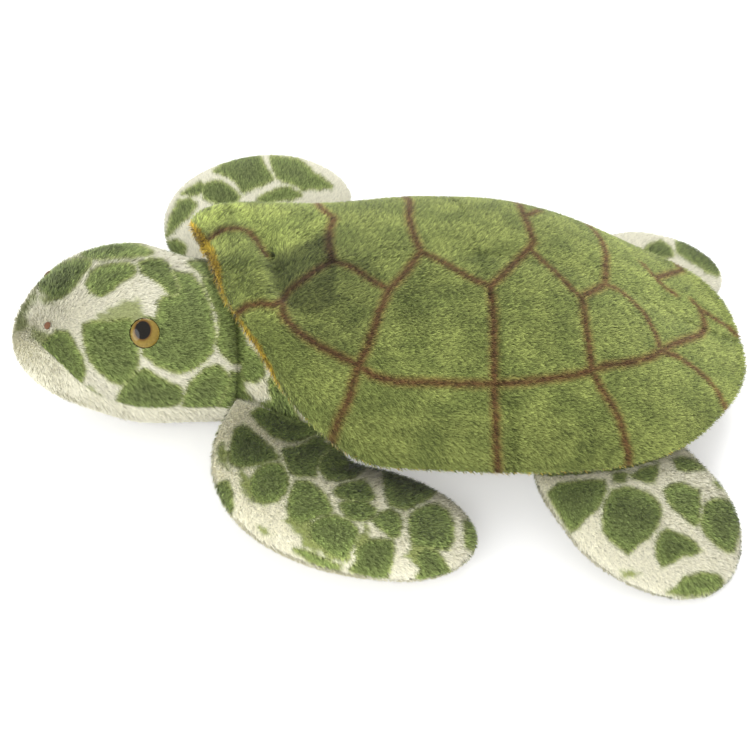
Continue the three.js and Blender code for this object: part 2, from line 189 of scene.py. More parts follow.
# A form is a run of rounded sections along its length, closed by rounded ends
def sectionPoints(form, s, angle, inset):
    over = 0.0
    if form["startRound"] > s:
        over = max(over, (form["startRound"] - s) / (form["startRound"] - inset))
    pastEnd = s - (form["length"] - form["endRound"])
    if pastEnd > 0:
        over = max(over, pastEnd / (form["endRound"] - inset))
    rounding = 0.0 if over > 1 - 1e-9 else math.sqrt(1 - over * over)
    power = 2 / form["squareness"](s)
    wide = max(form["halfWidth"](s) - inset, 0) * rounding
    high = max(form["halfHeight"](s) - inset, 0) * rounding
    middle, across, tall = form["section"](s)
    cos, sin = np.cos(angle), np.sin(angle)
    sideways = np.sign(cos) * np.abs(cos) ** power * wide
    upward = np.sign(sin) * np.abs(sin) ** power * high
    return middle + sideways[:, None] * across + upward[:, None] * tall


def formRings(form, shape):
    columns, rows, inset = (shape[key] for key in ("columns", "rows", "inset"))
    angle = np.arange(columns) * 2 * math.pi / columns
    start = inset if form["startRound"] > 0 else 0
    rings = []
    for i in range(rows + 1):
        evenly = form["length"] * (1 - math.cos(math.pi * i / rows)) / 2
        s = min(max(evenly, start), form["length"] - inset)
        rings.append(sectionPoints(form, s, angle, inset))
    return rings


# The skins lie inside the CAD forms by their inset, to leave room for the pile
bodyShape = {
    "neckRadius": 36,
    "neckGap": 0.8,
    "neckX": -78,
    "neckZ": 41,
    "length": 228,
    "halfWidth": 68,
    "halfHeight": 33,
    "shoulders": 46,
    "rump": 92,
    "rumpZ": 16,
    "squareness": 2.35,
    "restCut": 0.5,
    "inset": 2.6,
    "rows": 34,
    "columns": 48,
    "floorGap": 2.8,
    "heldBelow": 3.2,  # the cloth that the floor holds doesn't swell
    "swell": 1.2,
}


def bodyForm():
    body = bodyShape
    span = body["neckRadius"] + body["length"]

    def shoulder(s):
        return float(smoothStep(s, body["neckRadius"], body["neckRadius"] + body["shoulders"]))

    def section(s):
        rump = max(0.0, 1 - (span - s) / body["rump"])
        resting = mixed(body["halfHeight"] - body["restCut"], body["rumpZ"], rump * rump)
        z = mixed(body["neckZ"], resting, shoulder(s))
        return np.array([body["neckX"] - body["neckRadius"] + s, 0.0, z]), acrossAxis, upAxis

    return {
        "length": span,
        "startRound": body["neckRadius"],
        "endRound": body["rump"],
        "halfWidth": lambda s: mixed(body["neckRadius"], body["halfWidth"], shoulder(s)),
        "halfHeight": lambda s: mixed(body["neckRadius"], body["halfHeight"], shoulder(s)),
        "squareness": lambda s: mixed(2, body["squareness"], shoulder(s)),
        "section": section,
    }


headShape = {
    "noseX": -195,
    "length": 127,
    "halfWidth": 46,
    "halfHeight": 48.3,
    "squareness": 2.15,
    "snoutRound": 42,
    "napeRound": 16,
    "heights": (48, 53, 50, 44, 41.5),
    "widthShares": (0.8, 0.95, 1, 0.98, 0.95),
    "heightShares": (0.62, 0.74, 0.98, 0.87, 0.85),
    "chinTurn": 30,
    "inset": 1.8,
    "rows": 30,
    "columns": 48,
    "heldBehind": -120,  # the nape doesn't swell
    "swell": 1.2,
}


def headForm():
    head = headShape
    heights, wides, talls = (smoothRun(head[k]) for k in ("heights", "widthShares", "heightShares"))

    def section(s):
        middle = np.array([head["noseX"] + s, 0.0, float(heights(s / head["length"]))])
        return middle, acrossAxis, upAxis

    return {
        "length": head["length"],
        "startRound": head["snoutRound"],
        "endRound": head["napeRound"],
        "halfWidth": lambda s: head["halfWidth"] * float(wides(s / head["length"])),
        "halfHeight": lambda s: head["halfHeight"] * float(talls(s / head["length"])),
        "squareness": lambda s: head["squareness"],
        "section": section,
    }


# Runs of values along the shell's rim go from its front to its tail
shellShape = {
    "frontX": shellFrontX,
    "length": 300,
    "halfWidth": 110,
    "squareness": 2.5,
    "crown": 98,
    "rimHeights": (86, 70, 55, 44, 39, 34, 27),
    "domeRun": (2.2, 2.3, 2.4, 2.3, 2.1, 2, 2),
    "domeFall": (0.5, 0.5, 0.55, 0.62, 0.88, 1.2, 1.4),
    "liningRun": (3, 3, 3, 3, 2.8, 2.5, 2.4),
    "liningFall": (1, 1, 1, 1, 1.1, 1.2, 1.3),
    "liningCrown": 67.2,
    "liningInset": 1.2,
    "hemShare": 0.965,
    "hemShares": (0.985, 1.0),
    "underHemShare": 0.99,
    "folds": (  # where the hem is pushed out of line: degrees from the front, far side above 0
        {"turn": 29, "spread": 17, "move": (-5, 6, 9)},
        {"turn": 22, "spread": 12, "move": (-11, 0, 1)},
        {"turn": -23, "spread": 20, "move": (8.5, 3.5, 6.5)},
        {"turn": 64, "spread": 20, "move": (0, -6, -5)},
        {"turn": -92, "spread": 38, "move": (0, -3, -2)},
        {"turn": -63, "spread": 12, "move": (0, -5, -5)},
        {"turn": 170, "spread": 26, "move": (10, 5, 3)},
        {"turn": -145, "spread": 22, "move": (-4, 3, 2)},
    ),
    "inset": 2.6,
    "domeRows": 22,
    "columns": 112,
    "pilePartedAtX": 50,
    "swell": 1.2,
}
rimRun, domeLate, domeSteep, liningLate, liningSteep = (
    smoothRun(shellShape[key])
    for key in ("rimHeights", "domeRun", "domeFall", "liningRun", "liningFall")
)


def hemFold(share, turn):
    total = np.zeros((len(turn), 3))
    for fold in shellShape["folds"]:
        away = (np.mod(np.degrees(turn) - fold["turn"] + 180, 360) - 180) / fold["spread"]
        weight = np.exp(-away ** 2) * share ** 4
        total += weight[:, None] * np.array(fold["move"])
    return total


def tailShare(turn):
    turn = np.mod(turn, 2 * math.pi)
    return np.where(turn > math.pi, 2 - turn / math.pi, turn / math.pi)


def domeHeight(share, turn):
    toTail = tailShare(turn)
    rim = rimRun(toTail)
    rise = np.maximum(1 - share ** domeLate(toTail), 0) ** domeSteep(toTail)
    return rim + (shellShape["crown"] - shellShape["inset"] - rim) * rise


def liningHeight(share, turn):
    toTail = tailShare(turn)
    edge = rimRun(toTail) - 0.3
    outward = np.minimum(1, share / shellShape["hemShare"])
    rise = np.maximum(1 - outward ** liningLate(toTail), 0) ** liningSteep(toTail)
    return edge + (shellShape["liningCrown"] - edge) * rise - shellShape["liningInset"]


def shellRing(share, turn, height):
    shape = shellShape
    power, inset = 2 / shape["squareness"], shape["inset"]
    cos, sin = np.cos(turn), np.sin(turn)
    backward = -np.sign(cos) * np.abs(cos) ** power * (shape["length"] / 2 - inset) * share
    x = shape["frontX"] + shape["length"] / 2 + backward
    y = np.sign(sin) * np.abs(sin) ** power * (shape["halfWidth"] - inset) * share
    return np.stack([x, y, height(share, turn)], axis=1) + hemFold(share, turn)


# Flippers: turns, width shares and height shares run from the sewn edge to the tip
flipperShape = {
    "back": 0,
    "bow": 0,
    "inset": 1.9,
    "rows": 26,
    "columns": 40,
    "heldRows": 3,
    "swell": 1.6,
}
frontFlipper = {
    **flipperShape,
    "seamYaw": 32,
    "tipRound": 46,
    "halfWidth": 34,
    "halfHeight": 13.5,
    "heightShares": (0.12, 0.78, 1, 0.94, 0.78),
}
rearFlipper = {
    **flipperShape,
    "seamYaw": -22,
    "tipRound": 54,
    "halfWidth": 48,
    "halfHeight": 12,
    "widthShares": (0.68, 0.96, 1.05, 1.03, 0.96),
    "heightShares": (0.13, 0.85, 1, 0.94, 0.8),
}
limbs = {
    "front_left": {**frontFlipper, "side": -1, "reach": 153, "turns": (0, 40, 98, 122, 124),
                   "sag": 20, "droop": 8, "lean": 12, "bow": 4.4,
                   "widthShares": (0.93, 1.09, 1.17, 1.21, 1.12)},
    "front_right": {**frontFlipper, "side": 1, "reach": 163, "turns": (0, 18, 66, 108, 126),
                    "sag": 10, "droop": 1, "lean": 6,
                    "widthShares": (0.93, 1.05, 1.17, 1.16, 1.06)},
    "rear_left": {**rearFlipper, "side": -1, "reach": 119, "turns": (0, 3, 2, 0, 0),
                  "sag": 8, "droop": 6, "lean": 4, "back": 2},
    "rear_right": {**rearFlipper, "side": 1, "reach": 131, "turns": (0, 50, 68, 56, 48),
                   "sag": -6, "droop": 8, "lean": 4, "back": 8,
                   "halfWidth": 42, "widthShares": (0.6, 0.7, 0.84, 1.04, 1.06)},
}


def hingePlace(name):
    joint = next(j for j in frame["joints"] if j["name"] == f"{name}_flap")
    return inTurtle(np.array(joint["pos_m"]))


def flipperForm(name):
    limb = limbs[name]
    turns, wides, talls = (smoothRun(limb[k]) for k in ("turns", "widthShares", "heightShares"))
    mirror = np.array([1.0, limb["side"], 1.0])
    place = hingePlace(name) * mirror
    yaw, droop = math.radians(limb["seamYaw"]), math.radians(limb["droop"])
    turned = np.array(Matrix.Rotation(yaw, 3, "Z") @ Matrix.Rotation(-droop, 3, "X"))
    steps = 48
    marks = np.linspace(0, 1, steps + 1)
    swept = np.radians(turns((np.arange(steps) + 0.5) / steps))
    stride = np.stack([np.sin(swept), np.cos(swept)], axis=1) * limb["reach"] / steps
    path = np.vstack([[0, 0], np.cumsum(stride, axis=0)])

    def section(s):
        share = min(s / limb["reach"], 1.0)
        turn = math.radians(float(turns(share)))
        tilt = math.radians(limb["lean"]) * float(smoothStep(share, 0, 0.5))
        x, y = (np.interp(share, marks, path[:, axis]) for axis in (0, 1))
        middle = np.array([x, y, -limb["sag"] * share * share])
        flat = np.array([-math.cos(turn), math.sin(turn), 0.0])
        middle -= flat * limb["back"] * math.sin(math.pi / 2 * share)
        middle -= flat * limb["bow"] * math.sin(math.pi * share)
        across = flat * math.cos(tilt) + upAxis * math.sin(tilt)
        tall = upAxis * math.cos(tilt) - flat * math.sin(tilt)
        return (place + turned @ middle) * mirror, turned @ across * mirror, turned @ tall * mirror

    return {
        "length": limb["reach"],
        "startRound": 0,
        "endRound": limb["tipRound"],
        "halfWidth": lambda s: limb["halfWidth"] * float(wides(s / limb["reach"])),
        "halfHeight": lambda s: limb["halfHeight"] * float(talls(s / limb["reach"])),
        "squareness": lambda s: 2,
        "section": section,
    }


# Meshes
def fetched(items, key, width=1, kind=np.float32):
    values = np.zeros(len(items) * width, kind)
    items.foreach_get(key, values)
    return values.reshape(-1, width) if width > 1 else values


def pointsOf(mesh):
    return fetched(mesh.vertices, "co", 3).astype(float)


def normalsOf(mesh):
    return fetched(mesh.vertex_normals, "vector", 3).astype(float)


def turtlePoints(piece):
    return inTurtle(pointsOf(piece.data))


def trianglesOf(mesh):
    mesh.calc_loop_triangles()
    return fetched(mesh.loop_triangles, "vertices", 3, np.int32)


def treeOf(skin):
    return BVHTree.FromPolygons(
        [tuple(p) for p in turtlePoints(skin)], trianglesOf(skin.data).tolist())


def signedVolume(mesh):
    a, b, c = pointsOf(mesh)[trianglesOf(mesh)].transpose(1, 0, 2)
    return float(np.einsum("ij,ij->i", a, np.cross(b, c)).sum())


def setPoints(mesh, points):
    mesh.vertices.foreach_set("co", points.astype(np.float32).ravel())
    mesh.update()


def writeAttribute(mesh, name, values):
    vector = np.ndim(values) == 2
    kind = "FLOAT_VECTOR" if vector else "FLOAT"
    attribute = mesh.attributes.get(name) or mesh.attributes.new(name, kind, "POINT")
    attribute.data.foreach_set("vector" if vector else "value", values.astype(np.float32).ravel())


def solidPiece(name, points, faces):
    mesh = bpy.data.meshes.new(name)
    mesh.from_pydata([tuple(p) for p in inScene(np.array(points))], [], faces)
    mesh.update()
    if signedVolume(mesh) < 0:
        mesh.flip_normals()
    return linked(name, mesh)


def ringMesh(name, rings, closeStart=False):
    points, rows = [], []
    for ring in rings:
        if np.ptp(ring, axis=0).max() < 0.01:
            ring = ring.mean(axis=0, keepdims=True)
        rows.append(list(range(len(points), len(points) + len(ring))))
        points.extend(ring)
    if closeStart:
        rows.insert(0, [len(points)])
        points.append(rings[0].mean(axis=0))
    faces = []
    for near, far in zip(rows[:-1], rows[1:]):
        count = max(len(near), len(far))
        for j in range(count):
            k = (j + 1) % count
            corners = (near[j % len(near)], far[j % len(far)],
                       far[k % len(far)], near[k % len(near)])
            faces.append(list(dict.fromkeys(corners)))
    return solidPiece(name, points, faces), rows


def plainCopy(piece):
    scene.view_layers[0].update()
    evaluated = piece.evaluated_get(bpy.context.evaluated_depsgraph_get())
    return bpy.data.meshes.new_from_object(evaluated)


def applied(piece):
    mesh = plainCopy(piece)
    piece.modifiers.clear()
    piece.vertex_groups.clear()
    piece.data = mesh
    return piece


# Stuffing presses the cloth out between its seams
stuffing = {
    "pressure": 4,
    "mass": 0.3,
    "quality": 5,
    "frames": 20,
}


# True for the points on the seams and at the closed ends, which don't swell
def seamMask(skin, rows, seams):
    sewn = np.zeros(len(skin.data.vertices), bool)
    for row in rows:
        sewn[[row[seam] for seam in seams] if len(row) > 1 else row] = True
    return sewn


def stuffed(piece, sewn, swell):
    before = pointsOf(piece.data)
    group = piece.vertex_groups.new(name="sewn")
    group.add([int(i) for i in np.flatnonzero(sewn)], 1.0, "REPLACE")
    cloth = piece.modifiers.new("stuffing", "CLOTH")
    settings = cloth.settings
    settings.quality = stuffing["quality"]
    settings.mass = stuffing["mass"]
    settings.use_pressure = True
    settings.uniform_pressure_force = stuffing["pressure"]
    settings.vertex_group_mass = "sewn"
    settings.effector_weights.gravity = 0
    cloth.point_cache.frame_start = 1
    cloth.point_cache.frame_end = stuffing["frames"]
    for step in range(1, stuffing["frames"] + 1):
        scene.frame_set(step)
    moved = pointsOf(plainCopy(piece)) - before
    piece.modifiers.clear()
    piece.vertex_groups.clear()
    scene.frame_set(1)
    far = np.linalg.norm(moved, axis=1, keepdims=True)
    limit = swell * toMetres
    setPoints(piece.data, before + moved * np.minimum(1, limit / np.maximum(far, 1e-9)))
    print("stuffed", piece.name, "moved at most", round(float(far.max()) / toMetres, 2))
    finer = piece.modifiers.new("finer", "SUBSURF")
    finer.levels = 1
    finer.render_levels = 1
    applied(piece)
    piece.data.shade_smooth()
    return piece


# Markings, read from the toy: patches are dark green on cream
headPatches = [
    [(82, 256), (89, 249), (99, 243), (104, 239), (114, 240), (129, 244), (143, 248), (151, 253),
     (143, 256), (121, 257), (100, 259), (89, 259)],
    [(50, 271), (61, 265), (77, 260), (91, 261), (87, 268), (81, 274), (74, 285), (68, 292),
     (61, 297), (51, 299), (47, 294), (41, 291), (38, 282)],
    [(91, 274), (100, 268), (114, 265), (127, 265), (133, 268), (134, 272), (127, 278),
     (119, 282), (111, 290), (100, 296), (91, 292), (87, 285)],
    [(139, 263), (150, 260), (160, 261), (166, 265), (169, 272), (174, 282), (177, 292),
     (170, 296), (161, 285), (151, 278), (141, 272)],
    [(173, 272), (190, 276), (200, 288), (207, 302), (211, 318), (214, 336), (211, 351),
     (203, 361), (193, 368), (180, 372), (169, 369), (157, 364), (144, 354), (143, 348),
     (146, 335), (148, 318), (157, 318), (158, 305), (162, 298), (177, 296), (180, 288),
     (176, 279)],
    [(84, 325), (91, 323), (111, 322), (129, 320), (132, 325), (131, 336), (136, 348),
     (136, 358), (137, 365), (131, 376), (120, 383), (110, 379), (100, 371), (91, 361),
     (86, 348), (84, 336)],
    [(41, 345), (49, 339), (57, 332), (67, 333), (73, 343), (80, 356), (84, 369), (81, 381),
     (74, 379), (63, 366), (49, 353)],
    [(117, 399), (124, 385), (137, 372), (144, 369), (160, 379), (176, 386), (181, 391),
     (179, 402), (160, 408), (136, 409), (123, 404)],
    [(184, 396), (191, 382), (206, 368), (217, 366), (227, 375), (229, 381), (223, 393),
     (217, 405), (200, 408), (183, 407)],
    [(202, 279), (214, 282), (222, 296), (232, 317), (243, 340), (244, 352), (242, 361),
     (232, 362), (223, 354), (216, 345), (219, 330), (217, 314), (209, 296)],
    [(231, 372), (240, 375), (241, 389), (240, 405), (234, 416), (223, 411), (219, 403),
     (227, 389)],
    [(188, 263), (200, 262), (206, 265), (213, 279), (203, 275)],
]
headCreams = [  # small clean spots inside the patches
    [(143, 301), (156, 300), (156, 309), (153, 317), (147, 313)],
]
headWashes = [  # thin yellowish green, never quite a patch
    [(90, 324), (97, 313), (110, 307), (124, 301), (138, 297), (142, 302), (143, 309),
     (150, 320), (130, 326)],
    [(14, 322), (20, 308), (30, 294), (38, 288), (38, 300), (30, 308), (27, 316), (30, 328),
     (15, 334)],
    [(28, 330), (34, 325), (42, 331), (52, 334), (60, 338), (46, 346), (34, 342)],
    [(84, 385), (92, 386), (101, 395), (96, 396), (88, 391)],
    [(36, 298), (48, 292), (60, 298), (56, 304), (44, 306)],
]
nearFrontPatches = [
    [(252, 413), (262, 407), (272, 401), (290, 396), (304, 406), (314, 424), (314, 434),
     (300, 440), (288, 441), (274, 436), (260, 424)],
    [(236, 430), (243, 426), (252, 432), (262, 441), (272, 449), (278, 458), (268, 461),
     (252, 465), (240, 467), (230, 462), (231, 450)],
    [(283, 450), (295, 448), (305, 444), (314, 438), (328, 438), (330, 448), (320, 456),
     (316, 468), (315, 475), (300, 476), (291, 472), (286, 460)],
    [(319, 468), (322, 458), (332, 449), (346, 446), (360, 448), (372, 456), (366, 466),
     (358, 473), (352, 478), (340, 480), (328, 479)],
    [(252, 478), (258, 470), (268, 464), (280, 464), (286, 474), (288, 484), (284, 494),
     (276, 500), (264, 503), (254, 500), (250, 490)],
    [(296, 482), (308, 482), (316, 488), (326, 497), (331, 508), (330, 514), (318, 516),
     (308, 520), (300, 524), (290, 518), (288, 508), (291, 494)],
    [(334, 491), (342, 485), (354, 482), (364, 481), (370, 489), (373, 497), (368, 502),
     (352, 500), (340, 497)],
    [(340, 504), (350, 501), (364, 502), (375, 508), (374, 516), (364, 520), (350, 519),
     (343, 511)],
    [(382, 462), (395, 462), (412, 468), (425, 479), (438, 487), (430, 496), (418, 503),
     (408, 508), (398, 508), (390, 504), (385, 492)],
    [(372, 520), (380, 514), (390, 510), (398, 514), (400, 524), (399, 534), (392, 537),
     (382, 530)],
    [(310, 525), (322, 517), (336, 516), (348, 520), (358, 530), (355, 540), (350, 550),
     (344, 560), (334, 556), (322, 548), (312, 540)],
    [(358, 548), (366, 541), (380, 540), (392, 540), (393, 552), (390, 565), (386, 578),
     (376, 579), (364, 575), (350, 570), (357, 560)],
    [(409, 520), (414, 511), (424, 507), (436, 505), (446, 512), (452, 524), (452, 540),
     (446, 549), (436, 548), (424, 547), (414, 545), (410, 535)],
    [(416, 556), (424, 548), (436, 552), (442, 560), (450, 572), (440, 578), (428, 582),
     (414, 580), (420, 570)],
    [(464, 522), (470, 519), (475, 528), (477, 540), (472, 550), (466, 545)],
    [(214, 490), (220, 484), (228, 482), (231, 492), (232, 508), (230, 513), (222, 503)],
    [(294, 549), (304, 550), (318, 557), (332, 562), (340, 566), (338, 569), (325, 567),
     (310, 561)],
]
nearFrontWashes = [
    [(240, 470), (252, 478), (262, 492), (268, 504), (252, 502), (240, 490)],
    [(222, 440), (230, 452), (228, 470), (218, 462), (217, 448)],
    [(284, 520), (300, 512), (320, 530), (344, 548), (352, 560), (330, 560), (304, 546)],
    [(356, 540), (366, 520), (372, 540), (366, 562), (354, 566)],
    [(404, 556), (416, 536), (432, 540), (436, 552), (420, 566)],
    [(255, 524), (266, 528), (272, 534), (264, 535)],
]
nearRearPatches = [
    [(548, 492), (558, 484), (575, 481), (590, 480), (605, 480), (606, 490), (602, 500),
     (596, 510), (585, 518), (578, 528), (571, 532), (565, 524), (558, 513), (550, 500)],
    [(606, 500), (612, 490), (624, 486), (640, 490), (652, 496), (660, 505), (661, 516),
     (656, 528), (648, 538), (636, 546), (628, 554), (620, 548), (610, 540), (603, 530),
     (602, 515)],
    [(663, 490), (672, 484), (683, 483), (692, 488), (699, 490), (700, 505), (700, 520),
     (695, 526), (685, 519), (675, 510), (667, 502)],
    [(659, 533), (666, 528), (676, 532), (688, 538), (696, 543), (700, 550), (694, 554),
     (682, 556), (672, 563), (661, 567), (656, 556), (656, 543)],
    [(704, 503), (712, 499), (722, 498), (732, 502), (738, 510), (741, 522), (738, 536),
     (733, 552), (728, 552), (716, 545), (706, 536), (700, 525), (702, 512)],
    [(667, 592), (676, 586), (682, 577), (692, 574), (704, 572), (716, 574), (722, 580),
     (722, 586), (712, 592), (700, 595), (684, 596)],
    [(631, 476), (640, 469), (658, 463), (658, 472), (654, 482), (645, 483)],
    [(612, 474), (620, 472), (627, 474), (624, 482), (614, 482)],
    [(672, 460), (680, 457), (690, 459), (700, 464), (704, 469), (690, 471), (677, 470)],
    [(713, 482), (718, 478), (723, 483), (727, 490), (718, 488)],
]
nearRearWashes = [[(620, 570), (632, 569), (640, 573), (636, 578), (624, 576)]]
farFrontPatches = [
    [(215, 172), (225, 164), (238, 158), (249, 154), (258, 156), (262, 163), (268, 173),
     (272, 180), (262, 185), (250, 190), (243, 193), (238, 184), (230, 178)],
    [(271, 158), (283, 159), (297, 161), (305, 166), (312, 174), (322, 180), (331, 188),
     (315, 189), (303, 190), (296, 186), (285, 182), (277, 178), (273, 168)],
    [(203, 188), (212, 183), (222, 184), (232, 190), (239, 198), (236, 203), (226, 206),
     (214, 203), (205, 199)],
    [(258, 200), (270, 194), (282, 189), (292, 190), (300, 196), (290, 200), (275, 201),
     (266, 205)],
    [(183, 195), (190, 190), (200, 184), (204, 190), (198, 195)],
    [(180, 202), (190, 201), (196, 206), (190, 215), (180, 224), (172, 232), (168, 236),
     (172, 218)],
    [(162, 250), (168, 243), (178, 242), (186, 248), (183, 256), (176, 262), (168, 260)],
    [(190, 268), (200, 265), (206, 266), (212, 276), (205, 279), (198, 275)],
    [(228, 210), (236, 207), (243, 210), (238, 214), (230, 213)],
    [(248, 212), (252, 206), (261, 203), (262, 207), (254, 213)],
]
goldStrip = {  # the lining that shows along the front hem: turn from the front and width
    "turns": (-40, -33, -26, -20, -12, -7, -1, 6, 13, 18, 22),
    "widths": (0, 3.0, 3.6, 2.4, 1.0, 1.3, 4.6, 5.4, 5, 3.6, 0),
}
shellLightAndShade = [  # painted light and shade, where the shell is drawn lighter or darker: a painted shadow behind the front collar, down the near front and low on the near side; painted light on the collar, the far top and the rear
    {"tone": 0.52, "soft": 4, "area": [(266, 262), (300, 246), (330, 232), (336, 262), (334, 300),
                                       (316, 316), (294, 312), (284, 303), (274, 284)]},
    {"tone": 0.78, "soft": 16, "area": [(336, 235), (380, 262), (372, 330), (345, 370), (300, 330),
                                        (320, 300)]},
    {"tone": 1.75, "soft": 5, "area": [(180, 234), (184, 202), (236, 198), (248, 212), (256, 230),
                                       (246, 227), (230, 221), (206, 228)]},
    {"tone": 1.4, "soft": 6, "area": [(248, 214), (290, 190), (332, 190), (328, 228), (268, 256)]},
    {"tone": 1.15, "soft": 5, "area": [(208, 234), (246, 235), (260, 256), (268, 290), (278, 306),
                                       (262, 340), (240, 318), (218, 280)]},
    {"tone": 0.82, "soft": 16, "area": [(330, 405), (500, 425), (600, 420), (640, 480), (420, 480),
                                        (330, 450)]},
    {"tone": 1.3, "soft": 24, "area": [(590, 225), (655, 250), (725, 290), (755, 350), (745, 410),
                                       (680, 395), (645, 330), (590, 290)]},
]
farRearPatches = [
    [(645, 251), (651, 245), (660, 243), (668, 248), (671, 256), (658, 257)],
    [(677, 252), (677, 242), (684, 233), (696, 234), (708, 241), (718, 252), (722, 264),
     (716, 275), (708, 272), (700, 266), (688, 260)],
]
# patches on the shoulders; the last is partly a green patch and partly painted shadow under the
# shell's collar
shoulderPatchesAndShadow = [
    [(241, 390), (248, 398), (254, 405), (248, 416), (242, 418), (238, 404)],
    [(270, 380), (282, 388), (300, 425), (300, 440), (262, 440), (250, 414), (262, 404),
     (274, 401)],
    [(243, 345), (262, 362), (262, 374), (256, 380), (243, 378), (242, 360)],
]
scuteLines = [
    [(332, 262), (328, 245), (329, 232), (333, 220), (322, 212), (312, 203), (308, 200)],
    [(332, 262), (315, 272), (300, 283), (288, 293), (280, 303)],
    [(332, 262), (350, 268), (370, 281), (388, 292)],
    [(388, 292), (403, 276), (420, 253)],
    [(420, 253), (412, 235), (408, 218), (409, 204)],
    [(388, 292), (378, 315), (370, 340), (358, 366)],
    [(280, 303), (283, 318), (300, 335), (325, 350), (345, 360), (358, 366)],
    [(358, 366), (352, 385), (348, 400), (338, 420), (332, 440), (331, 448)],
    [(358, 366), (372, 376), (395, 382), (430, 383), (460, 384), (493, 384)],
    [(420, 253), (441, 263), (465, 277), (489, 288)],
    [(489, 288), (500, 278), (515, 263), (528, 250)],
    [(528, 250), (532, 243), (527, 228), (523, 218), (518, 207)],
    [(523, 218), (535, 214), (541, 211)],
    [(489, 288), (491, 300), (493, 330), (493, 384), (494, 410), (495, 440), (497, 470)],
    [(528, 250), (540, 262), (555, 275), (572, 292), (581, 300), (583, 320), (588, 350),
     (590, 371)],
    [(493, 384), (520, 383), (550, 379), (575, 375), (590, 371), (605, 366), (635, 362),
     (650, 357), (659, 352)],
    [(659, 352), (653, 335), (643, 315), (628, 300), (615, 290), (603, 286)],
    [(603, 286), (604, 270), (604, 255), (600, 243)],
    [(603, 286), (590, 293), (583, 296)],
    [(590, 371), (600, 390), (610, 405), (618, 420), (623, 440), (627, 455), (626, 470)],
    [(659, 352), (672, 345), (685, 340), (698, 336), (703, 328), (700, 315), (696, 308),
     (690, 302)],
    [(659, 352), (675, 357), (690, 367), (705, 380), (715, 392), (723, 408)],
    [(697, 310), (710, 318), (725, 328), (735, 336)],
    [(680, 272), (668, 275), (655, 279)],
    [(640, 265), (655, 281), (665, 290), (673, 295)],
    [(210, 240), (222, 231), (235, 230), (247, 233), (255, 243), (264, 257)],
    [(237, 314), (248, 307), (262, 304), (272, 307), (280, 303)],
]
scuteLinesRunOver = [  # these ends are carried on down the far side, to the hem
    (308, 200), (409, 204), (518, 207), (600, 243), (680, 272),
]
patchReach = 24.0  # pixels round a patch in which it is felt; this far out the cloth is plain
patchShades = {"darkest": 0.82, "lightest": 1.12, "count": 200}  # more than there are patches
sight = {"grazing": 0.02, "clearance": 3, "reach": 900}


def segmentDistance(points, start, end):
    along = end - start
    share = np.clip((points - start) @ along / max(float(along @ along), 1e-9), 0, 1)
    return np.linalg.norm(points - start - share[:, None] * along, axis=1)


def patchesAt(pixels, patches, reach=patchReach):
    depth = np.full(len(pixels), -float(reach))
    nearest = np.zeros(len(pixels), int)
    for number, patch in enumerate(patches):
        corners = np.array(patch, float)
        low, high = corners.min(axis=0) - reach, corners.max(axis=0) + reach
        near = np.flatnonzero(((pixels > low) & (pixels < high)).all(axis=1))
        if not len(near):
            continue
        spots = pixels[near]
        distance = np.full(len(spots), 1e9)
        inside = np.zeros(len(spots), bool)
        for start, end in zip(corners, np.roll(corners, -1, axis=0)):
            distance = np.minimum(distance, segmentDistance(spots, start, end))
            crosses = (start[1] > spots[:, 1]) != (end[1] > spots[:, 1])
            rise = end[1] - start[1] if end[1] != start[1] else 1e-9
            x = (end[0] - start[0]) * (spots[:, 1] - start[1]) / rise + start[0]
            inside ^= crosses & (spots[:, 0] < x)
        here = np.where(inside, distance, -distance)
        nearest[near[here > depth[near]]] = number
        depth[near] = np.maximum(depth[near], here)
    return depth, nearest


def depthInPatches(pixels, patches, reach=patchReach):
    return patchesAt(pixels, patches, reach)[0]


def patchTones(nearest, seed):
    low, high, count = (patchShades[key] for key in ("darkest", "lightest", "count"))
    return np.random.default_rng(seed).uniform(low, high, count)[nearest]


def seesCamera(points, normals, blockers=()):
    toCamera = unit(viewPlace - points)
    seen = np.einsum("ij,ij->i", toCamera, normals) > sight["grazing"]
    for blocker in blockers:
        for i in np.flatnonzero(seen):
            start = Vector(points[i] + normals[i] * sight["clearance"])
            if blocker.ray_cast(start, Vector(toCamera[i]), sight["reach"])[0] is not None:
                seen[i] = False
    return seen


# Nodes that the materials share
def fillIn(tree, node, values):
    for key, value in values.items():
        if isinstance(value, bpy.types.NodeSocket):
            tree.links.new(value, node.inputs[key])
        else:
            node.inputs[key].default_value = value


def addNode(tree, kind, settings=None, inputs=None):
    node = tree.nodes.new(kind)
    for key, value in (settings or {}).items():
        setattr(node, key, value)
    fillIn(tree, node, inputs or {})
    return node


def arithmetic(tree, operation, *values):
    node = addNode(tree, "ShaderNodeMath", {"operation": operation}, dict(enumerate(values)))
    return node.outputs[0]


def mixColours(tree, share, a, b):
    node = addNode(tree, "ShaderNodeMix", {"data_type": "RGBA"}, {0: share, 6: a, 7: b})
    return node.outputs[2]


def mapped(tree, value, low, high, toLow=0.0, toHigh=1.0):
    node = addNode(tree, "ShaderNodeMapRange", {"interpolation_type": "SMOOTHSTEP"},
                   {0: value, 1: low, 2: high, 3: toLow, 4: toHigh})
    return node.outputs[0]


def attributeOf(tree, name):
    return addNode(tree, "ShaderNodeAttribute", {"attribute_name": name}).outputs["Fac"]


def noiseOf(tree, scale, detail=2.0):
    place = addNode(tree, "ShaderNodeTexCoord").outputs["Object"]
    node = addNode(tree, "ShaderNodeTexNoise", inputs={
        "Vector": place, "Scale": scale, "Detail": detail})
    return node.outputs["Fac"]


def colour(code):
    channels = [int(code[i:i + 2], 16) / 255 for i in (1, 3, 5)]
    linear = [c / 12.92 if c <= 0.04045 else ((c + 0.055) / 1.055) ** 2.4 for c in channels]
    return (*linear, 1.0)


def newMaterial(name):
    material = bpy.data.materials.new(name)
    material.use_nodes = True
    return material, material.node_tree, material.node_tree.nodes["Principled BSDF"]


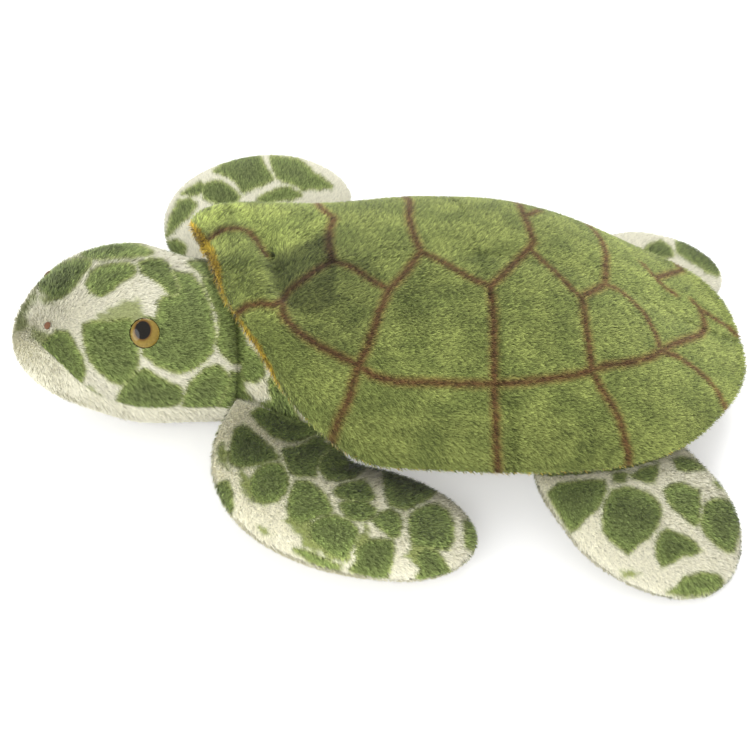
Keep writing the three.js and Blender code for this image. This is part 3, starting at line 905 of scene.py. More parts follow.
def nodeGroup(name, inputs, outputs):
    group = bpy.data.node_groups.new(name, "ShaderNodeTree")
    for label, kind, value in inputs:
        socket = group.interface.new_socket(
            label, in_out="INPUT", socket_type=f"NodeSocket{kind}")
        socket.default_value = value
    for label, kind in outputs:
        group.interface.new_socket(label, in_out="OUTPUT", socket_type=f"NodeSocket{kind}")
    return group, group.nodes.new("NodeGroupInput").outputs, group.nodes.new("NodeGroupOutput")


# Plush: its dyes, by depth in a patch or distance from a line, and how its strands differ
plushColours = {
    "cream": "#ECE9D3",
    "fringe": "#A3AC68",
    "patch": "#8E9F5A",
    "deepPatch": "#7D8B50",
    "shell": "#909A53",
    "shellShade": "#768142",
    "olive": "#827B40",
    "line": "#64482A",
    "gold": "#B0962C",
    "paleGold": "#C7AE45",
}
plush = {key: colour(code) for key, code in plushColours.items()}
dyeEdges = {
    "fringe": (-4.6, 0.4),
    "patch": (-1.6, 2.8),
    "deepPatch": (2.0, 12.0),
    "olive": (5.0, 1.6),
    "line": (2.8, 0.6),
}
plushShades = {  # roots: painted shade at the strands' roots; tips: painted light on their ends; mottled plush goes from the cream's first value to the green's second
    "mottled": {"roots": (0.85, 0.6), "spread": (0.24, 1.1)},
    "scuted": {"roots": 0.6, "spread": 1.05},
    "gold": {"roots": 0.75, "spread": 0.25},
    "backing": 0.62,
    "tips": 1.14,
}
plushFinish = {
    "cloudScale": 55.0,
    "grainScale": 900.0,
    "bump": 0.6,
    "bumpDepth": 0.8,
    "roughness": (0.82, 0.95),
    "specular": 0.25,
    "sheen": 0.25,
    "sheenRoughness": 0.5,
}


def mottleGroup():
    group, given, end = nodeGroup("mottledCloth", [
        ("Depth", "Float", 0.0),
        ("Wash", "Float", 0.0),
        ("Cream", "Color", plush["cream"]),
        ("Fringe", "Color", plush["fringe"]),
        ("Patch", "Color", plush["patch"]),
        ("Deep patch", "Color", plush["deepPatch"]),
    ], [("Color", "Color"), ("Dyed", "Float")])
    dyed, inPatch, deepIn = (
        mapped(group, given["Depth"], *dyeEdges[key]) for key in ("fringe", "patch", "deepPatch"))
    fringed = mixColours(group, dyed, given["Cream"], given["Fringe"])
    washed = mixColours(group, given["Wash"], fringed, given["Fringe"])
    patched = mixColours(group, inPatch, washed, given["Patch"])
    fillIn(group, end, {
        "Color": mixColours(group, deepIn, patched, given["Deep patch"]),
        "Dyed": dyed,
    })
    return group


def scuteGroup():
    group, given, end = nodeGroup("scutedCloth", [
        ("Line distance", "Float", 20.0),
        ("Brightness", "Float", 0.5),
        ("Shell", "Color", plush["shell"]),
        ("Shade", "Color", plush["shellShade"]),
        ("Olive", "Color", plush["olive"]),
        ("Line", "Color", plush["line"]),
    ], [("Color", "Color")])
    nearLine, onLine = (
        mapped(group, given["Line distance"], *dyeEdges[key]) for key in ("olive", "line"))
    toned = mixColours(group, given["Brightness"], given["Shade"], given["Shell"])
    olive = mixColours(group, nearLine, toned, given["Olive"])
    fillIn(group, end, {"Color": mixColours(group, onLine, olive, given["Line"])})
    return group


def pileGroup():
    group, given, end = nodeGroup("pileTone", [
        ("Color", "Color", (0.5, 0.5, 0.5, 1)),
        ("Tip", "Float", 1.0),
        ("Strand", "Float", 0.5),
        ("Tone", "Float", 1.0),
        ("Root shade", "Float", 0.72),
        ("Spread", "Float", 0.3),
    ], [("Color", "Color")])
    # painted shade darkens each strand towards its root and painted light brightens its tip
    rooted = addNode(group, "ShaderNodeMapRange", inputs={
        0: given["Tip"], 3: given["Root shade"], 4: plushShades["tips"]}).outputs[0]
    centred = arithmetic(group, "SUBTRACT", given["Strand"], 0.5)
    varied = arithmetic(group, "MULTIPLY_ADD", centred, given["Spread"], 1.0)
    value = arithmetic(group, "MULTIPLY", arithmetic(group, "MULTIPLY", rooted, varied),
                       given["Tone"])
    toned = addNode(group, "ShaderNodeHueSaturation", inputs={
        "Color": given["Color"], "Value": value})
    fillIn(group, end, {"Color": toned.outputs[0]})
    return group


mottledCloth, scutedCloth, pileTone = mottleGroup(), scuteGroup(), pileGroup()


def plushMaterial(cloth, surface):
    material, tree, shader = newMaterial(cloth + surface)
    shades = plushShades[cloth]
    roots, spread = shades["roots"], shades["spread"]
    finish = plushFinish
    cloud = noiseOf(tree, finish["cloudScale"], 4.0)
    if cloth == "mottled":
        dyed = addNode(tree, "ShaderNodeGroup", {"node_tree": mottledCloth}, {
            "Depth": attributeOf(tree, "patchDepth"),
            "Wash": attributeOf(tree, "wash"),
        }).outputs
        base = dyed["Color"]
        roots, spread = (mapped(tree, dyed["Dyed"], 0, 1, *ends) for ends in (roots, spread))
    elif cloth == "scuted":
        lined = addNode(tree, "ShaderNodeGroup", {"node_tree": scutedCloth}, {
            "Line distance": attributeOf(tree, "lineDistance"),
            "Brightness": mapped(tree, cloud, 0.35, 0.65),
        }).outputs["Color"]
        base = mixColours(tree, attributeOf(tree, "trim"), lined, plush["gold"])
    else:
        base = mixColours(tree, mapped(tree, cloud, 0.3, 0.7), plush["gold"], plush["paleGold"])
    # the tone attribute multiplies in random tone together with painted light and shade
    toning = {"Color": base, "Tone": attributeOf(tree, "tone")}
    if surface == "Pile":
        toning |= {
            "Tip": attributeOf(tree, "tip"),
            "Strand": attributeOf(tree, "strand"),
            "Root shade": roots,
            "Spread": spread,
        }
    else:
        grain = noiseOf(tree, finish["grainScale"])
        toning |= {"Tip": mapped(tree, grain, 0.3, 0.7), "Root shade": plushShades["backing"]}
        bump = addNode(tree, "ShaderNodeBump", inputs={
            "Strength": finish["bump"], "Distance": finish["bumpDepth"] * toMetres,
            "Height": grain})
        fillIn(tree, shader, {"Normal": bump.outputs[0]})
    toned = addNode(tree, "ShaderNodeGroup", {"node_tree": pileTone}, toning)
    fillIn(tree, shader, {
        "Base Color": toned.outputs["Color"],
        "Roughness": mapped(tree, cloud, 0.3, 0.7, *finish["roughness"]),
        "Specular IOR Level": finish["specular"],
        "Sheen Weight": finish["sheen"],
        "Sheen Roughness": finish["sheenRoughness"],
    })
    return material


materials = {
    cloth + surface: plushMaterial(cloth, surface)
    for cloth, surface in (("mottled", "Pile"), ("mottled", "Backing"), ("scuted", "Pile"),
                           ("scuted", "Backing"), ("gold", "Pile"))
}
print("materials made")

# Pile: one strand of plush, laid many times along the nap
pileShape = {
    "strandsPerSquareMetre": 4.2e6,
    "length": 2.8,
    "width": 0.4,
    "lean": 57,
    "seed": 7,
    "strayness": (0.36, 0.36, 0.3),
    "twist": 0.7,
    "lengths": (0.65, 1.2),
    "tuftSize": 2.6,
    "tuftDepth": 0.45,
    "shadeRange": (-0.2, 1.3),
    "skinShading": 0.85,  # strands are lit partly as the skin under them and partly as themselves
    "strandShading": 0.35,
}


def strandObject():
    corners = [(0.5, 0, 0), (-0.5, 0, 0), (-0.22, 0.06, 1), (0.22, 0.06, 1)]
    mesh = bpy.data.meshes.new("strand")
    mesh.from_pydata(corners, [], [(0, 1, 2, 3)])
    writeAttribute(mesh, "tip", np.array([0.0, 0.0, 1.0, 1.0]))
    return bpy.data.objects.new("strand", mesh)


def pileTree():
    tree = bpy.data.node_groups.new("plushPile", "GeometryNodeTree")
    tree.is_modifier = True
    sockets = {
        "Skin": "Geometry",
        "Strands per square metre": "Float",
        "Length": "Float",
        "Width": "Float",
        "Lean": "Float",
        "Seed": "Int",
        "Strand": "Object",
        "Plush": "Material",
    }
    for label, kind in sockets.items():
        tree.interface.new_socket(label, in_out="INPUT", socket_type=f"NodeSocket{kind}")
    tree.interface.new_socket("Pile", in_out="OUTPUT", socket_type="NodeSocketGeometry")
    given = tree.nodes.new("NodeGroupInput").outputs
    end = tree.nodes.new("NodeGroupOutput")

    def named(name, kind):
        return addNode(tree, "GeometryNodeInputNamedAttribute", {"data_type": kind},
                       {"Name": name}).outputs[0]

    def vectors(operation, inputs):
        return addNode(tree, "ShaderNodeVectorMath", {"operation": operation}, inputs).outputs[0]

    def number(operation, *values):
        return arithmetic(tree, operation, *values)

    def randomValue(kind, low, high, step):
        isVector = kind == "FLOAT_VECTOR"
        first = 0 if isVector else 2
        node = addNode(tree, "FunctionNodeRandomValue", {"data_type": kind}, {
            first: low, first + 1: high, "Seed": number("ADD", given["Seed"], step)})
        return node.outputs[0 if isVector else 1]

    comb = named("comb", "FLOAT_VECTOR")
    scatter = addNode(tree, "GeometryNodeDistributePointsOnFaces", {
        "distribute_method": "RANDOM"}, {
        "Mesh": given["Skin"],
        "Density": number("MULTIPLY", given["Strands per square metre"],
                          named("pileShare", "FLOAT")),
        "Seed": given["Seed"],
    }).outputs
    normal = scatter["Normal"]
    roots = addNode(tree, "GeometryNodeStoreNamedAttribute", {"data_type": "FLOAT_VECTOR"}, {
        "Geometry": scatter["Points"], "Name": "skinNormal", "Value": normal})
    upright = vectors("SCALE", {0: normal, "Scale": number("COSINE", given["Lean"])})
    laid = vectors("SCALE", {0: comb, "Scale": number("SINE", given["Lean"])})
    most = pileShape["strayness"]
    stray = randomValue("FLOAT_VECTOR", [-m for m in most], most, 1)
    leaning = vectors("ADD", {0: vectors("ADD", {0: upright, 1: laid}), 1: stray})
    aim = addNode(tree, "FunctionNodeAlignRotationToVector", {"axis": "Z"}, {
        "Vector": vectors("NORMALIZE", {0: leaning})})
    flat = addNode(tree, "FunctionNodeAlignRotationToVector", {"axis": "X", "pivot_axis": "Z"}, {
        "Rotation": aim.outputs[0],
        "Vector": vectors("CROSS_PRODUCT", {0: normal, 1: comb}),
    })
    spin = addNode(tree, "FunctionNodeAxisAngleToRotation", inputs={
        "Axis": (0, 0, 1),
        "Angle": randomValue("FLOAT", -pileShape["twist"], pileShape["twist"], 2),
    })
    twist = addNode(tree, "FunctionNodeRotateRotation", {"rotation_space": "LOCAL"}, {
        "Rotation": flat.outputs[0], "Rotate By": spin.outputs[0]})
    tall = number("MULTIPLY", given["Length"], randomValue("FLOAT", *pileShape["lengths"], 3))
    size = addNode(tree, "ShaderNodeCombineXYZ", inputs={0: given["Width"], 1: tall, 2: tall})
    strand = addNode(tree, "GeometryNodeObjectInfo", inputs={"Object": given["Strand"]})
    laying = addNode(tree, "GeometryNodeInstanceOnPoints", inputs={
        "Points": roots.outputs["Geometry"],
        "Instance": strand.outputs["Geometry"],
        "Rotation": twist.outputs[0],
        "Scale": size.outputs[0],
    })
    real = addNode(tree, "GeometryNodeRealizeInstances", inputs={"Geometry": laying.outputs[0]})
    dyed = addNode(tree, "GeometryNodeSetMaterial", inputs={
        "Geometry": real.outputs[0], "Material": given["Plush"]})
    fillIn(tree, end, {0: dyed.outputs[0]})
    return tree


plushPile, plushStrand = pileTree(), strandObject()


def growPile(name, skin, share, markings, material, changes=None):
    shape = {**pileShape, **(changes or {})}
    bed = linked(name, skin.data.copy())
    writeAttribute(bed.data, "pileShare", share)
    growth = bed.modifiers.new("pile", "NODES")
    growth.node_group = plushPile
    values = {
        "Strands per square metre": shape["strandsPerSquareMetre"],
        "Length": shape["length"] * toMetres,
        "Width": shape["width"] * toMetres,
        "Lean": math.radians(shape["lean"]),
        "Seed": shape["seed"],
        "Strand": plushStrand,
        "Plush": materials[material],
    }
    for socket in plushPile.interface.items_tree:
        if socket.name in values:
            growth[socket.identifier] = values[socket.name]
    mesh = applied(bed).data
    mesh.materials.clear()
    mesh.materials.append(materials[material])
    perStrand = len(plushStrand.data.vertices)
    points = pointsOf(mesh).reshape(-1, perStrand, 3)
    middles = inTurtle(points.mean(axis=1))
    skinNormal = mesh.attributes["skinNormal"]
    outward = unit(fetched(skinNormal.data, "vector", 3).astype(float)[::perStrand])
    for label, values in {"tone": np.ones(len(middles)), **markings(middles, outward)}.items():
        writeAttribute(mesh, label, np.repeat(values, perStrand))
    random = np.random.default_rng(shape["seed"])
    tufts = wavyNoise(middles, shape["tuftSize"], shape["seed"]) * shape["tuftDepth"]
    shades = np.clip(0.5 + tufts + random.uniform(-0.5, 0.5, len(middles)), *shape["shadeRange"])
    writeAttribute(mesh, "strand", np.repeat(shades, perStrand))
    ribbon = unit(np.cross(points[:, 1] - points[:, 0], points[:, 3] - points[:, 0]))
    ribbon *= np.sign(np.einsum("ij,ij->i", ribbon, outward))[:, None]
    shading = unit(outward * shape["skinShading"] + ribbon * shape["strandShading"])
    mesh.normals_split_custom_set_from_vertices(np.repeat(shading, perStrand, axis=0))
    mesh.attributes.remove(mesh.attributes["skinNormal"])
    layOut(mesh, middles, outward)
    print("pile grown", name, len(middles), "strands")
    return bed


# Each strand gets its own small square of the bake sheet, beside its neighbours on the skin
def layOut(mesh, middles, outward):
    count = len(middles)
    side = math.ceil(math.sqrt(count)) + 1
    below = outward[:, 2] < 0
    place = np.zeros((count, 2))
    firstRow = 0
    for half in (below, ~below):
        members = np.flatnonzero(half)
        if not len(members):
            continue
        rows = math.ceil(len(members) / side)
        across = members[np.argsort(middles[members, 0])]
        for column in range(side):
            strip = across[column * rows:(column + 1) * rows]
            strip = strip[np.argsort(middles[strip, 1])]
            place[strip, 0] = column
            place[strip, 1] = firstRow + np.arange(len(strip))
        firstRow += rows
    size = max(side, firstRow)
    corners = np.array([(0.8, 0.2), (0.2, 0.2), (0.25, 0.8), (0.75, 0.8)])
    spots = (place[:, None] + corners[None]) / size
    index = fetched(mesh.loops, "vertex_index", kind=np.int32)
    sheet = mesh.uv_layers.new(name="OFBake")
    sheet.data.foreach_set("uv", spots.reshape(-1, 2)[index].astype(np.float32).ravel())


# Skins of the body, head and flippers
def addBody():
    shape = bodyShape
    rings = formRings(bodyForm(), shape)
    for ring in rings:
        ring[:, 2] = np.maximum(ring[:, 2], shape["floorGap"])
    skin, rows = ringMesh("bodySkin", rings)
    sewn = seamMask(skin, rows, (0, shape["columns"] // 2))
    sewn |= turtlePoints(skin)[:, 2] < shape["heldBelow"]
    return stuffed(skin, sewn, shape["swell"])


# The head's back is hollowed round the body's neck
def neckCup(points):
    body = bodyShape
    radius = body["neckRadius"] + body["neckGap"]
    offset = points - np.array([body["neckX"], 0, body["neckZ"]])
    sideways = np.minimum((offset[:, 1:] ** 2).sum(axis=1), radius ** 2)
    front = body["neckX"] - np.sqrt(radius ** 2 - sideways)
    within = sideways < radius ** 2
    cupped = points.copy()
    cupped[:, 0] = np.where(within & (points[:, 0] > front), front, points[:, 0])
    return cupped


def addHead():
    shape = headShape
    columns = shape["columns"]
    rings = [neckCup(ring) for ring in formRings(headForm(), shape)]
    skin, rows = ringMesh("headSkin", rings)
    chin = round(shape["chinTurn"] / 360 * columns)
    sewn = seamMask(skin, rows, (columns - chin, columns // 2 + chin))
    sewn |= turtlePoints(skin)[:, 0] > shape["heldBehind"]
    return stuffed(skin, sewn, shape["swell"])


def addFlipper(name):
    shape = limbs[name]
    skin, rows = ringMesh(f"{name}_skin", formRings(flipperForm(name), shape), closeStart=True)
    sewn = seamMask(skin, rows, (0, shape["columns"] // 2))
    for row in rows[:shape["heldRows"]]:
        sewn[row] = True
    return stuffed(skin, sewn, shape["swell"])


# Shell
def addShell():
    shape = shellShape
    turn = np.arange(shape["columns"]) * 2 * math.pi / shape["columns"]
    domeRows = shape["domeRows"]
    tops = [shape["hemShare"] * math.sin(math.pi / 2 * i / domeRows) for i in range(domeRows + 1)]
    rings = [shellRing(share, turn, domeHeight) for share in (*tops, *shape["hemShares"])]
    rings += [shellRing(share, turn, liningHeight)
              for share in (shape["underHemShare"], *tops[::-2])]
    skin, rows = ringMesh("shellSkin", rings)
    sewn = np.ones(len(skin.data.vertices), bool)
    for row in rows[:domeRows]:
        sewn[row] = False
    stuffed(skin, sewn, shape["swell"])
    creaseShell(skin)
    return skin


# Where the marking view's rays meet a skin, along a stretch drawn in its picture
def hitsBetween(tree, start, end, shares):
    hits = []
    for share in shares:
        x, y = (mixed(a, b, share) for a, b in zip(start, end))
        hit = tree.ray_cast(Vector(viewPlace), Vector(pixelRay(x, y)))[0]
        if hit is not None:
            hits.append(np.array(hit))
    return hits


shellCrease = {
    "line": [(246, 232), (255, 244), (262, 256), (267, 270), (272, 290), (281, 303), (292, 318)],
    "valley": {"lift": -4.6, "aside": 4, "width": 6},
    "ridge": {"lift": 3, "aside": -7, "width": 8},
    "fades": (10, 24),
}


def creaseShell(skin):
    tree, line = treeOf(skin), shellCrease["line"]
    track = np.array([
        hit for start, end in zip(line[:-1], line[1:])
        for hit in hitsBetween(tree, start, end, np.arange(4) / 4)
    ])
    points, normals = turtlePoints(skin), normalsOf(skin.data)
    distance = np.linalg.norm(points[:, None] - track[None], axis=2)
    nearest = distance.argmin(axis=1)
    away = distance.min(axis=1)
    across = unit(np.cross(np.gradient(track, axis=0), upAxis))
    side = np.einsum("ij,ij->i", points - track[nearest], across[nearest])
    if side[points[:, 0].argmax()] < 0:
        side = -side
    ends = np.sin(math.pi * np.clip(nearest / (len(track) - 1), 0.04, 0.96)) ** 0.5
    valley, ridge = (
        fold["lift"] * np.exp(-((side - fold["aside"]) / fold["width"]) ** 2)
        for fold in (shellCrease["valley"], shellCrease["ridge"]))
    near = 1 - smoothStep(away, *shellCrease["fades"])
    points[:, 2] += (valley + ridge) * near * ends * (normals[:, 2] > 0)
    setPoints(skin.data, inScene(points))


skins = {"body": addBody(), "head": addHead(), "shell": addShell()}
for name in limbs:
    skins[name] = addFlipper(name)
skinTrees = {name: treeOf(skin) for name, skin in skins.items()}
print("skins made")


# Where the scute lines run on the shell
def runDownToHem(start):
    places = []
    for step in range(1, 40):
        above = Vector((start[0], start[1] + 2 * step, 200))
        hit = skinTrees["shell"].ray_cast(above, Vector((0, 0, -1)))[0]
        if hit is None:
            break
        places.append(np.array(hit))
    return places


def shellTracks():
    tracks = []
    for line in scuteLines:
        track = []
        for start, end in zip(line[:-1], line[1:]):
            count = max(2, round(math.hypot(end[0] - start[0], end[1] - start[1]) / 4))
            track += hitsBetween(skinTrees["shell"], start, end, np.arange(count + 1) / count)
        if len(track) > 1:
            tracks.append(track)
            for end, place in ((line[0], track[0]), (line[-1], track[-1])):
                if end in scuteLinesRunOver:
                    tracks.append([place, *runDownToHem(place)])
    return tracks


shellLines = shellTracks()


def hemTrack():
    turn = np.radians(np.linspace(goldStrip["turns"][0], goldStrip["turns"][-1], 120))
    widths = np.interp(np.degrees(turn), goldStrip["turns"], goldStrip["widths"])
    return shellRing(1.0, turn, domeHeight), widths


# Markings give each point its depth in a patch or distance from a line, its wash, and its tone with
# painted light and shade
shellDye = {
    "raggedness": 0.5,
    "ragSize": 6,
    "lineFeltTo": 20,
    "farAway": 30.0,
    "trimSoftness": 0.8,
    "trimRaggedness": 1.4,
    "leastTrim": 0.3,
}


def shellMarkings(points, normals):
    paint = shellDye
    distance = np.full(len(points), paint["farAway"])
    for track in shellLines:
        for start, end in zip(track[:-1], track[1:]):
            near = np.flatnonzero(np.abs(points - start).max(axis=1) < paint["lineFeltTo"])
            if len(near):
                distance[near] = np.minimum(
                    distance[near], segmentDistance(points[near], start, end))
    ragged = paint["raggedness"] * wavyNoise(points, paint["ragSize"], 3)
    edge, widths = hemTrack()
    fromHem = np.full(len(points), paint["farAway"])
    front = np.flatnonzero(points[:, 0] < 0)
    if len(front):
        offsets = np.linalg.norm(points[front, None] - edge[None], axis=2)
        nearest = offsets.argmin(axis=1)
        fromHem[front] = offsets.min(axis=1) - widths[nearest]
        fromHem[front[widths[nearest] < paint["leastTrim"]]] = paint["farAway"]
    # painted light and shade by place on the shell, from the areas listed above
    tone = np.ones(len(points))
    spots = pixelsOf(points)
    for shade in shellLightAndShade:
        inside = depthInPatches(spots, [shade["area"]], shade["soft"] * 2)
        tone *= mixed(1.0, shade["tone"], smoothStep(inside, -shade["soft"], shade["soft"]))
    soft = paint["trimSoftness"]
    return {
        "lineDistance": np.maximum(distance + ragged, 0),
        "trim": smoothStep(-(fromHem + paint["trimRaggedness"] * ragged), -soft, soft),
        "tone": tone,
    }


headDye = {
    "chinSeam": [(0, 341), (13, 341), (35, 341), (81, 384), (100, 396), (118, 403), (140, 408),
                 (180, 408), (230, 408)],
    "growth": 0.5,
    "creamSpotGrowth": 2,
    "raggedness": 1.0,
    "ragSize": 6,
    "wash": 0.85,
    # cream, green and chin: how bright the head's cream, its green patches and the chin are drawn
    "cream": 0.86,
    "green": 0.85,
    "chin": 0.97,
}


# The far side of the head mirrors the near one, apart from what the photograph shows of it
def headMarkings(points, normals):
    paint = headDye
    mirrored = points.copy()
    mirrored[:, 1] = -np.abs(points[:, 1])
    near = (points[:, 1] < 0) | seesCamera(points, normals)
    spots = pixelsOf(np.where(near[:, None], points, mirrored))
    ragged = paint["raggedness"] * wavyNoise(points, paint["ragSize"], 21)
    depth, nearest = patchesAt(spots, headPatches)
    depth += paint["growth"] + ragged
    inCream = depthInPatches(spots, headCreams) + paint["creamSpotGrowth"]
    depth = np.minimum(depth, ragged - inCream)
    wash = smoothStep(depthInPatches(spots, headWashes) + 3 * ragged, -2.5, 5) * paint["wash"]
    seamY = np.interp(spots[:, 0], *zip(*paint["chinSeam"]))
    isChin = smoothStep(spots[:, 1] - seamY + ragged * 0.5, -1.5, 1.5)
    isChin = np.maximum(isChin, smoothStep(-normals[:, 2], 0.75, 0.85))
    green = paint["green"] * patchTones(nearest, 4)
    tone = mixed(paint["cream"], green, smoothStep(depth, -1, 3))
    return {
        "patchDepth": mixed(depth, -patchReach, isChin),
        "wash": wash * (1 - isChin),
        "tone": mixed(tone, paint["chin"], isChin),
    }


# cream and green scale each flipper's cream and green: painted shade on the far flippers, painted
# light on the near front one
limbDyesAndShade = {
    "front_left": {"patches": nearFrontPatches, "washes": nearFrontWashes,
                   "growth": 0.2, "cream": 1.03, "green": 1.02},
    "front_right": {"patches": farFrontPatches, "washes": [],
                    "growth": 0.5, "cream": 0.8, "green": 0.58},
    "rear_left": {"patches": nearRearPatches, "washes": nearRearWashes,
                  "growth": -0.9, "cream": 0.96, "green": 1.0},
    "rear_right": {"patches": farRearPatches, "washes": [],
                   "growth": 0.8, "cream": 0.84, "green": 0.62},
}
cellShape = {  # where the photograph shows nothing, patches are cells round scattered centres
    "limb": {"every": 7, "spacing": 24, "line": 1.7},
    "body": {"every": 9, "spacing": 26, "line": 1.8},
    "steepness": 1.75,
    "raggedness": 1.1,
    "ragSize": 7,
}


def cellDepths(points, skin, kind, seed):
    shape = cellShape[kind]
    surface = turtlePoints(skin)[::shape["every"]]
    random = np.random.default_rng(seed)
    centres = []
    for i in random.permutation(len(surface)):
        if all(np.linalg.norm(surface[i] - c) > shape["spacing"] for c in centres):
            centres.append(surface[i])
    centres = np.array(centres)
    edges = np.empty(len(points))
    block = 4000
    for first in range(0, len(points), block):
        offsets = points[first:first + block, None] - centres[None]
        distances = np.sort(np.linalg.norm(offsets, axis=2), axis=1)
        edges[first:first + block] = (distances[:, 1] - distances[:, 0]) / 2
    return (edges - shape["line"]) * cellShape["steepness"]


# How far each point lies above the flipper's middle, square to its own spread
def heightOver(name, points):
    section = flipperForm(name)["section"]
    marks = [section(s) for s in np.linspace(0, limbs[name]["reach"], 25)]
    middles = np.array([m[0] for m in marks])
    talls = np.array([m[2] for m in marks])
    nearest = np.argmin(np.linalg.norm(points[:, None] - middles[None], axis=2), axis=1)
    return np.einsum("ij,ij->i", points - middles[nearest], talls[nearest])


def limbMarkings(name):
    paint = limbDyesAndShade[name]
    seed = sorted(limbs).index(name)

    def markings(points, normals):
        ragged = cellShape["raggedness"] * wavyNoise(points, cellShape["ragSize"], 31 + seed)
        spots = pixelsOf(points)
        seen = seesCamera(points, normals, (skinTrees["shell"], skinTrees["head"]))
        drawn, nearest = patchesAt(spots, paint["patches"])
        cells = cellDepths(points, skins[name], "limb", seed)
        depth = np.where(seen, drawn + paint["growth"], cells) + ragged
        upward = heightOver(name, points)
        depth = np.where(upward < -1.5, -patchReach, depth)
        wash = smoothStep(depthInPatches(spots, paint["washes"]) + 3 * ragged, -3, 4)
        green = np.where(seen, patchTones(nearest, seed), 1.0) * paint["green"]
        tone = mixed(paint["cream"], green, smoothStep(depth, -1, 3))
        return {
            "patchDepth": depth,
            "wash": np.where(seen & (upward > 0), wash, 0),
            # the undersides get painted shade, a little darker than the cream above
            "tone": np.where(upward > 0, tone, 0.95 * paint["cream"]),
        }

    return markings


def bodyMarkings(points, normals):
    ragged = cellShape["raggedness"] * wavyNoise(points, cellShape["ragSize"], 51)
    cells = cellDepths(points, skins["body"], "body", 5)
    seen = seesCamera(points, normals, (skinTrees["shell"], skinTrees["head"]))
    # the shoulder patches include a painted shadow under the collar
    drawn = depthInPatches(pixelsOf(points), [*shoulderPatchesAndShadow, *headPatches]) + 1.5
    depth = np.where(seen, drawn, cells) + ragged
    belly = smoothStep(bodyShape["halfHeight"] * 0.9 - points[:, 2], -2, 2)
    return {
        "patchDepth": mixed(depth, -patchReach, belly),
        "wash": np.zeros(len(points)),
        "tone": np.ones(len(points)),
    }


def goldMarkings(points, normals):
    return {"tone": np.ones(len(points))}


# What each piece rides on, and the nodes it stands for, which are hidden
def settle(piece, body, slot, *nodes):
    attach(piece, body)
    if nodes:
        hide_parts(*nodes)


# Pile on each piece, combed towards the tail or the flipper's tip
nap = {
    "unrest": 0.45,
    "driftSize": 30,
    "head": {"along": (1.0, 0, -0.25), "seed": 61},
    "shell": {"along": (1.0, 0, -0.2), "seed": 71, "middle": (56.0, 0, 60), "drop": -30,
              "fanning": 0.45},
    "lining": {"along": (1.0, 0, 0), "seed": 75},
    "limb": {"along": (0, 0, 0), "seed": 81, "fanning": 0.6},
    "body": {"along": (1.0, 0, -0.2), "seed": 91},
}
pileChanges = {
    "lining": {"strandsPerSquareMetre": 0.8e6, "length": 2.4, "width": 0.8},
    "body": {"width": 0.5, "length": 3.6},
    "limb": {"lean": 55},
}


def dress(skin, markings, backing):
    points, normals = turtlePoints(skin), normalsOf(skin.data)
    for label, values in markings(points, normals).items():
        writeAttribute(skin.data, label, values)
    skin.data.materials.clear()
    skin.data.materials.append(materials[backing])
    return points, normals


def combSkin(skin, kind, fanned=0.0):
    points, normals = turtlePoints(skin), normalsOf(skin.data)
    drift = np.stack([
        wavyNoise(points, nap["driftSize"], nap[kind]["seed"] + i) for i in range(3)], axis=1)
    laid = fanned + np.array(nap[kind]["along"]) + drift * nap["unrest"]
    laid -= normals * np.einsum("ij,ij->i", laid, normals)[:, None]
    writeAttribute(skin.data, "comb", unit(laid))


def dressHead():
    skin = skins["head"]
    points, _ = dress(skin, headMarkings, "mottledBacking")
    combSkin(skin, "head")
    isLeft = (points[:, 1] < 0).astype(float)
    neck = np.array([bodyShape["neckX"], 0.0, bodyShape["neckZ"]])
    cupped = np.linalg.norm(points - neck, axis=1) < bodyShape["neckRadius"] + 1.5
    share = np.where(cupped, 0.0, 1.0)
    for label, half in (("left", isLeft), ("right", 1 - isLeft)):
        pile = growPile(f"headPile_{label}", skin, share * half, headMarkings, "mottledPile")
        settle(pile, "head", "mottled_plush")


def dressShell():
    skin = skins["shell"]
    points, normals = dress(skin, shellMarkings, "scutedBacking")
    away = points - np.array(nap["shell"]["middle"])
    away[:, 2] = nap["shell"]["drop"]
    combSkin(skin, "shell", unit(away) * nap["shell"]["fanning"])
    top = smoothStep(normals[:, 2], -0.5, -0.2)
    isLeft, isFront = points[:, 1] < 0, points[:, 0] < shellShape["pilePartedAtX"]
    quarters = {
        "frontLeft": isFront & isLeft,
        "frontRight": isFront & ~isLeft,
        "rearLeft": ~isFront & isLeft,
        "rearRight": ~isFront & ~isLeft,
    }
    for label, part in quarters.items():
        pile = growPile(f"shellPile_{label}", skin, top * part, shellMarkings, "scutedPile")
        settle(pile, "body", "shell_plush")
    combSkin(skin, "lining")
    lining = growPile(
        "liningPile", skin, 1 - top, goldMarkings, "goldPile", pileChanges["lining"])
    settle(lining, "body", "gold_plush")


def dressBody():
    skin = skins["body"]
    points, normals = dress(skin, bodyMarkings, "mottledBacking")
    combSkin(skin, "body")
    hidden = smoothStep(points[:, 0], -60, -40) * smoothStep(normals[:, 2], 0.2, 0.5)
    neck = 1 - smoothStep(points[:, 0], -60, -30)
    share = (1 - hidden) * mixed(0.22, 1.0, neck)  # thin where the shell and floor hide it
    pile = growPile("bodyPile", skin, share, bodyMarkings, "mottledPile", pileChanges["body"])
    settle(pile, "body", "mottled_plush")


def dressLimb(name):
    skin, markings = skins[name], limbMarkings(name)
    points, _ = dress(skin, markings, "mottledBacking")
    hinge = hingePlace(name)
    tip = points[np.argmax(np.linalg.norm(points - hinge, axis=1))]
    combSkin(skin, "limb", unit(tip - hinge) + unit(points - hinge) * nap["limb"]["fanning"])
    share = smoothStep(np.linalg.norm((points - hinge)[:, :2], axis=1), 0, 5)
    share *= mixed(0.35, 1.0, smoothStep(heightOver(name, points), -9, -5))
    pile = growPile(
        f"{name}_pile", skin, share, markings, "mottledPile", pileChanges["limb"])
    settle(pile, f"{name}_flipper", "mottled_plush")


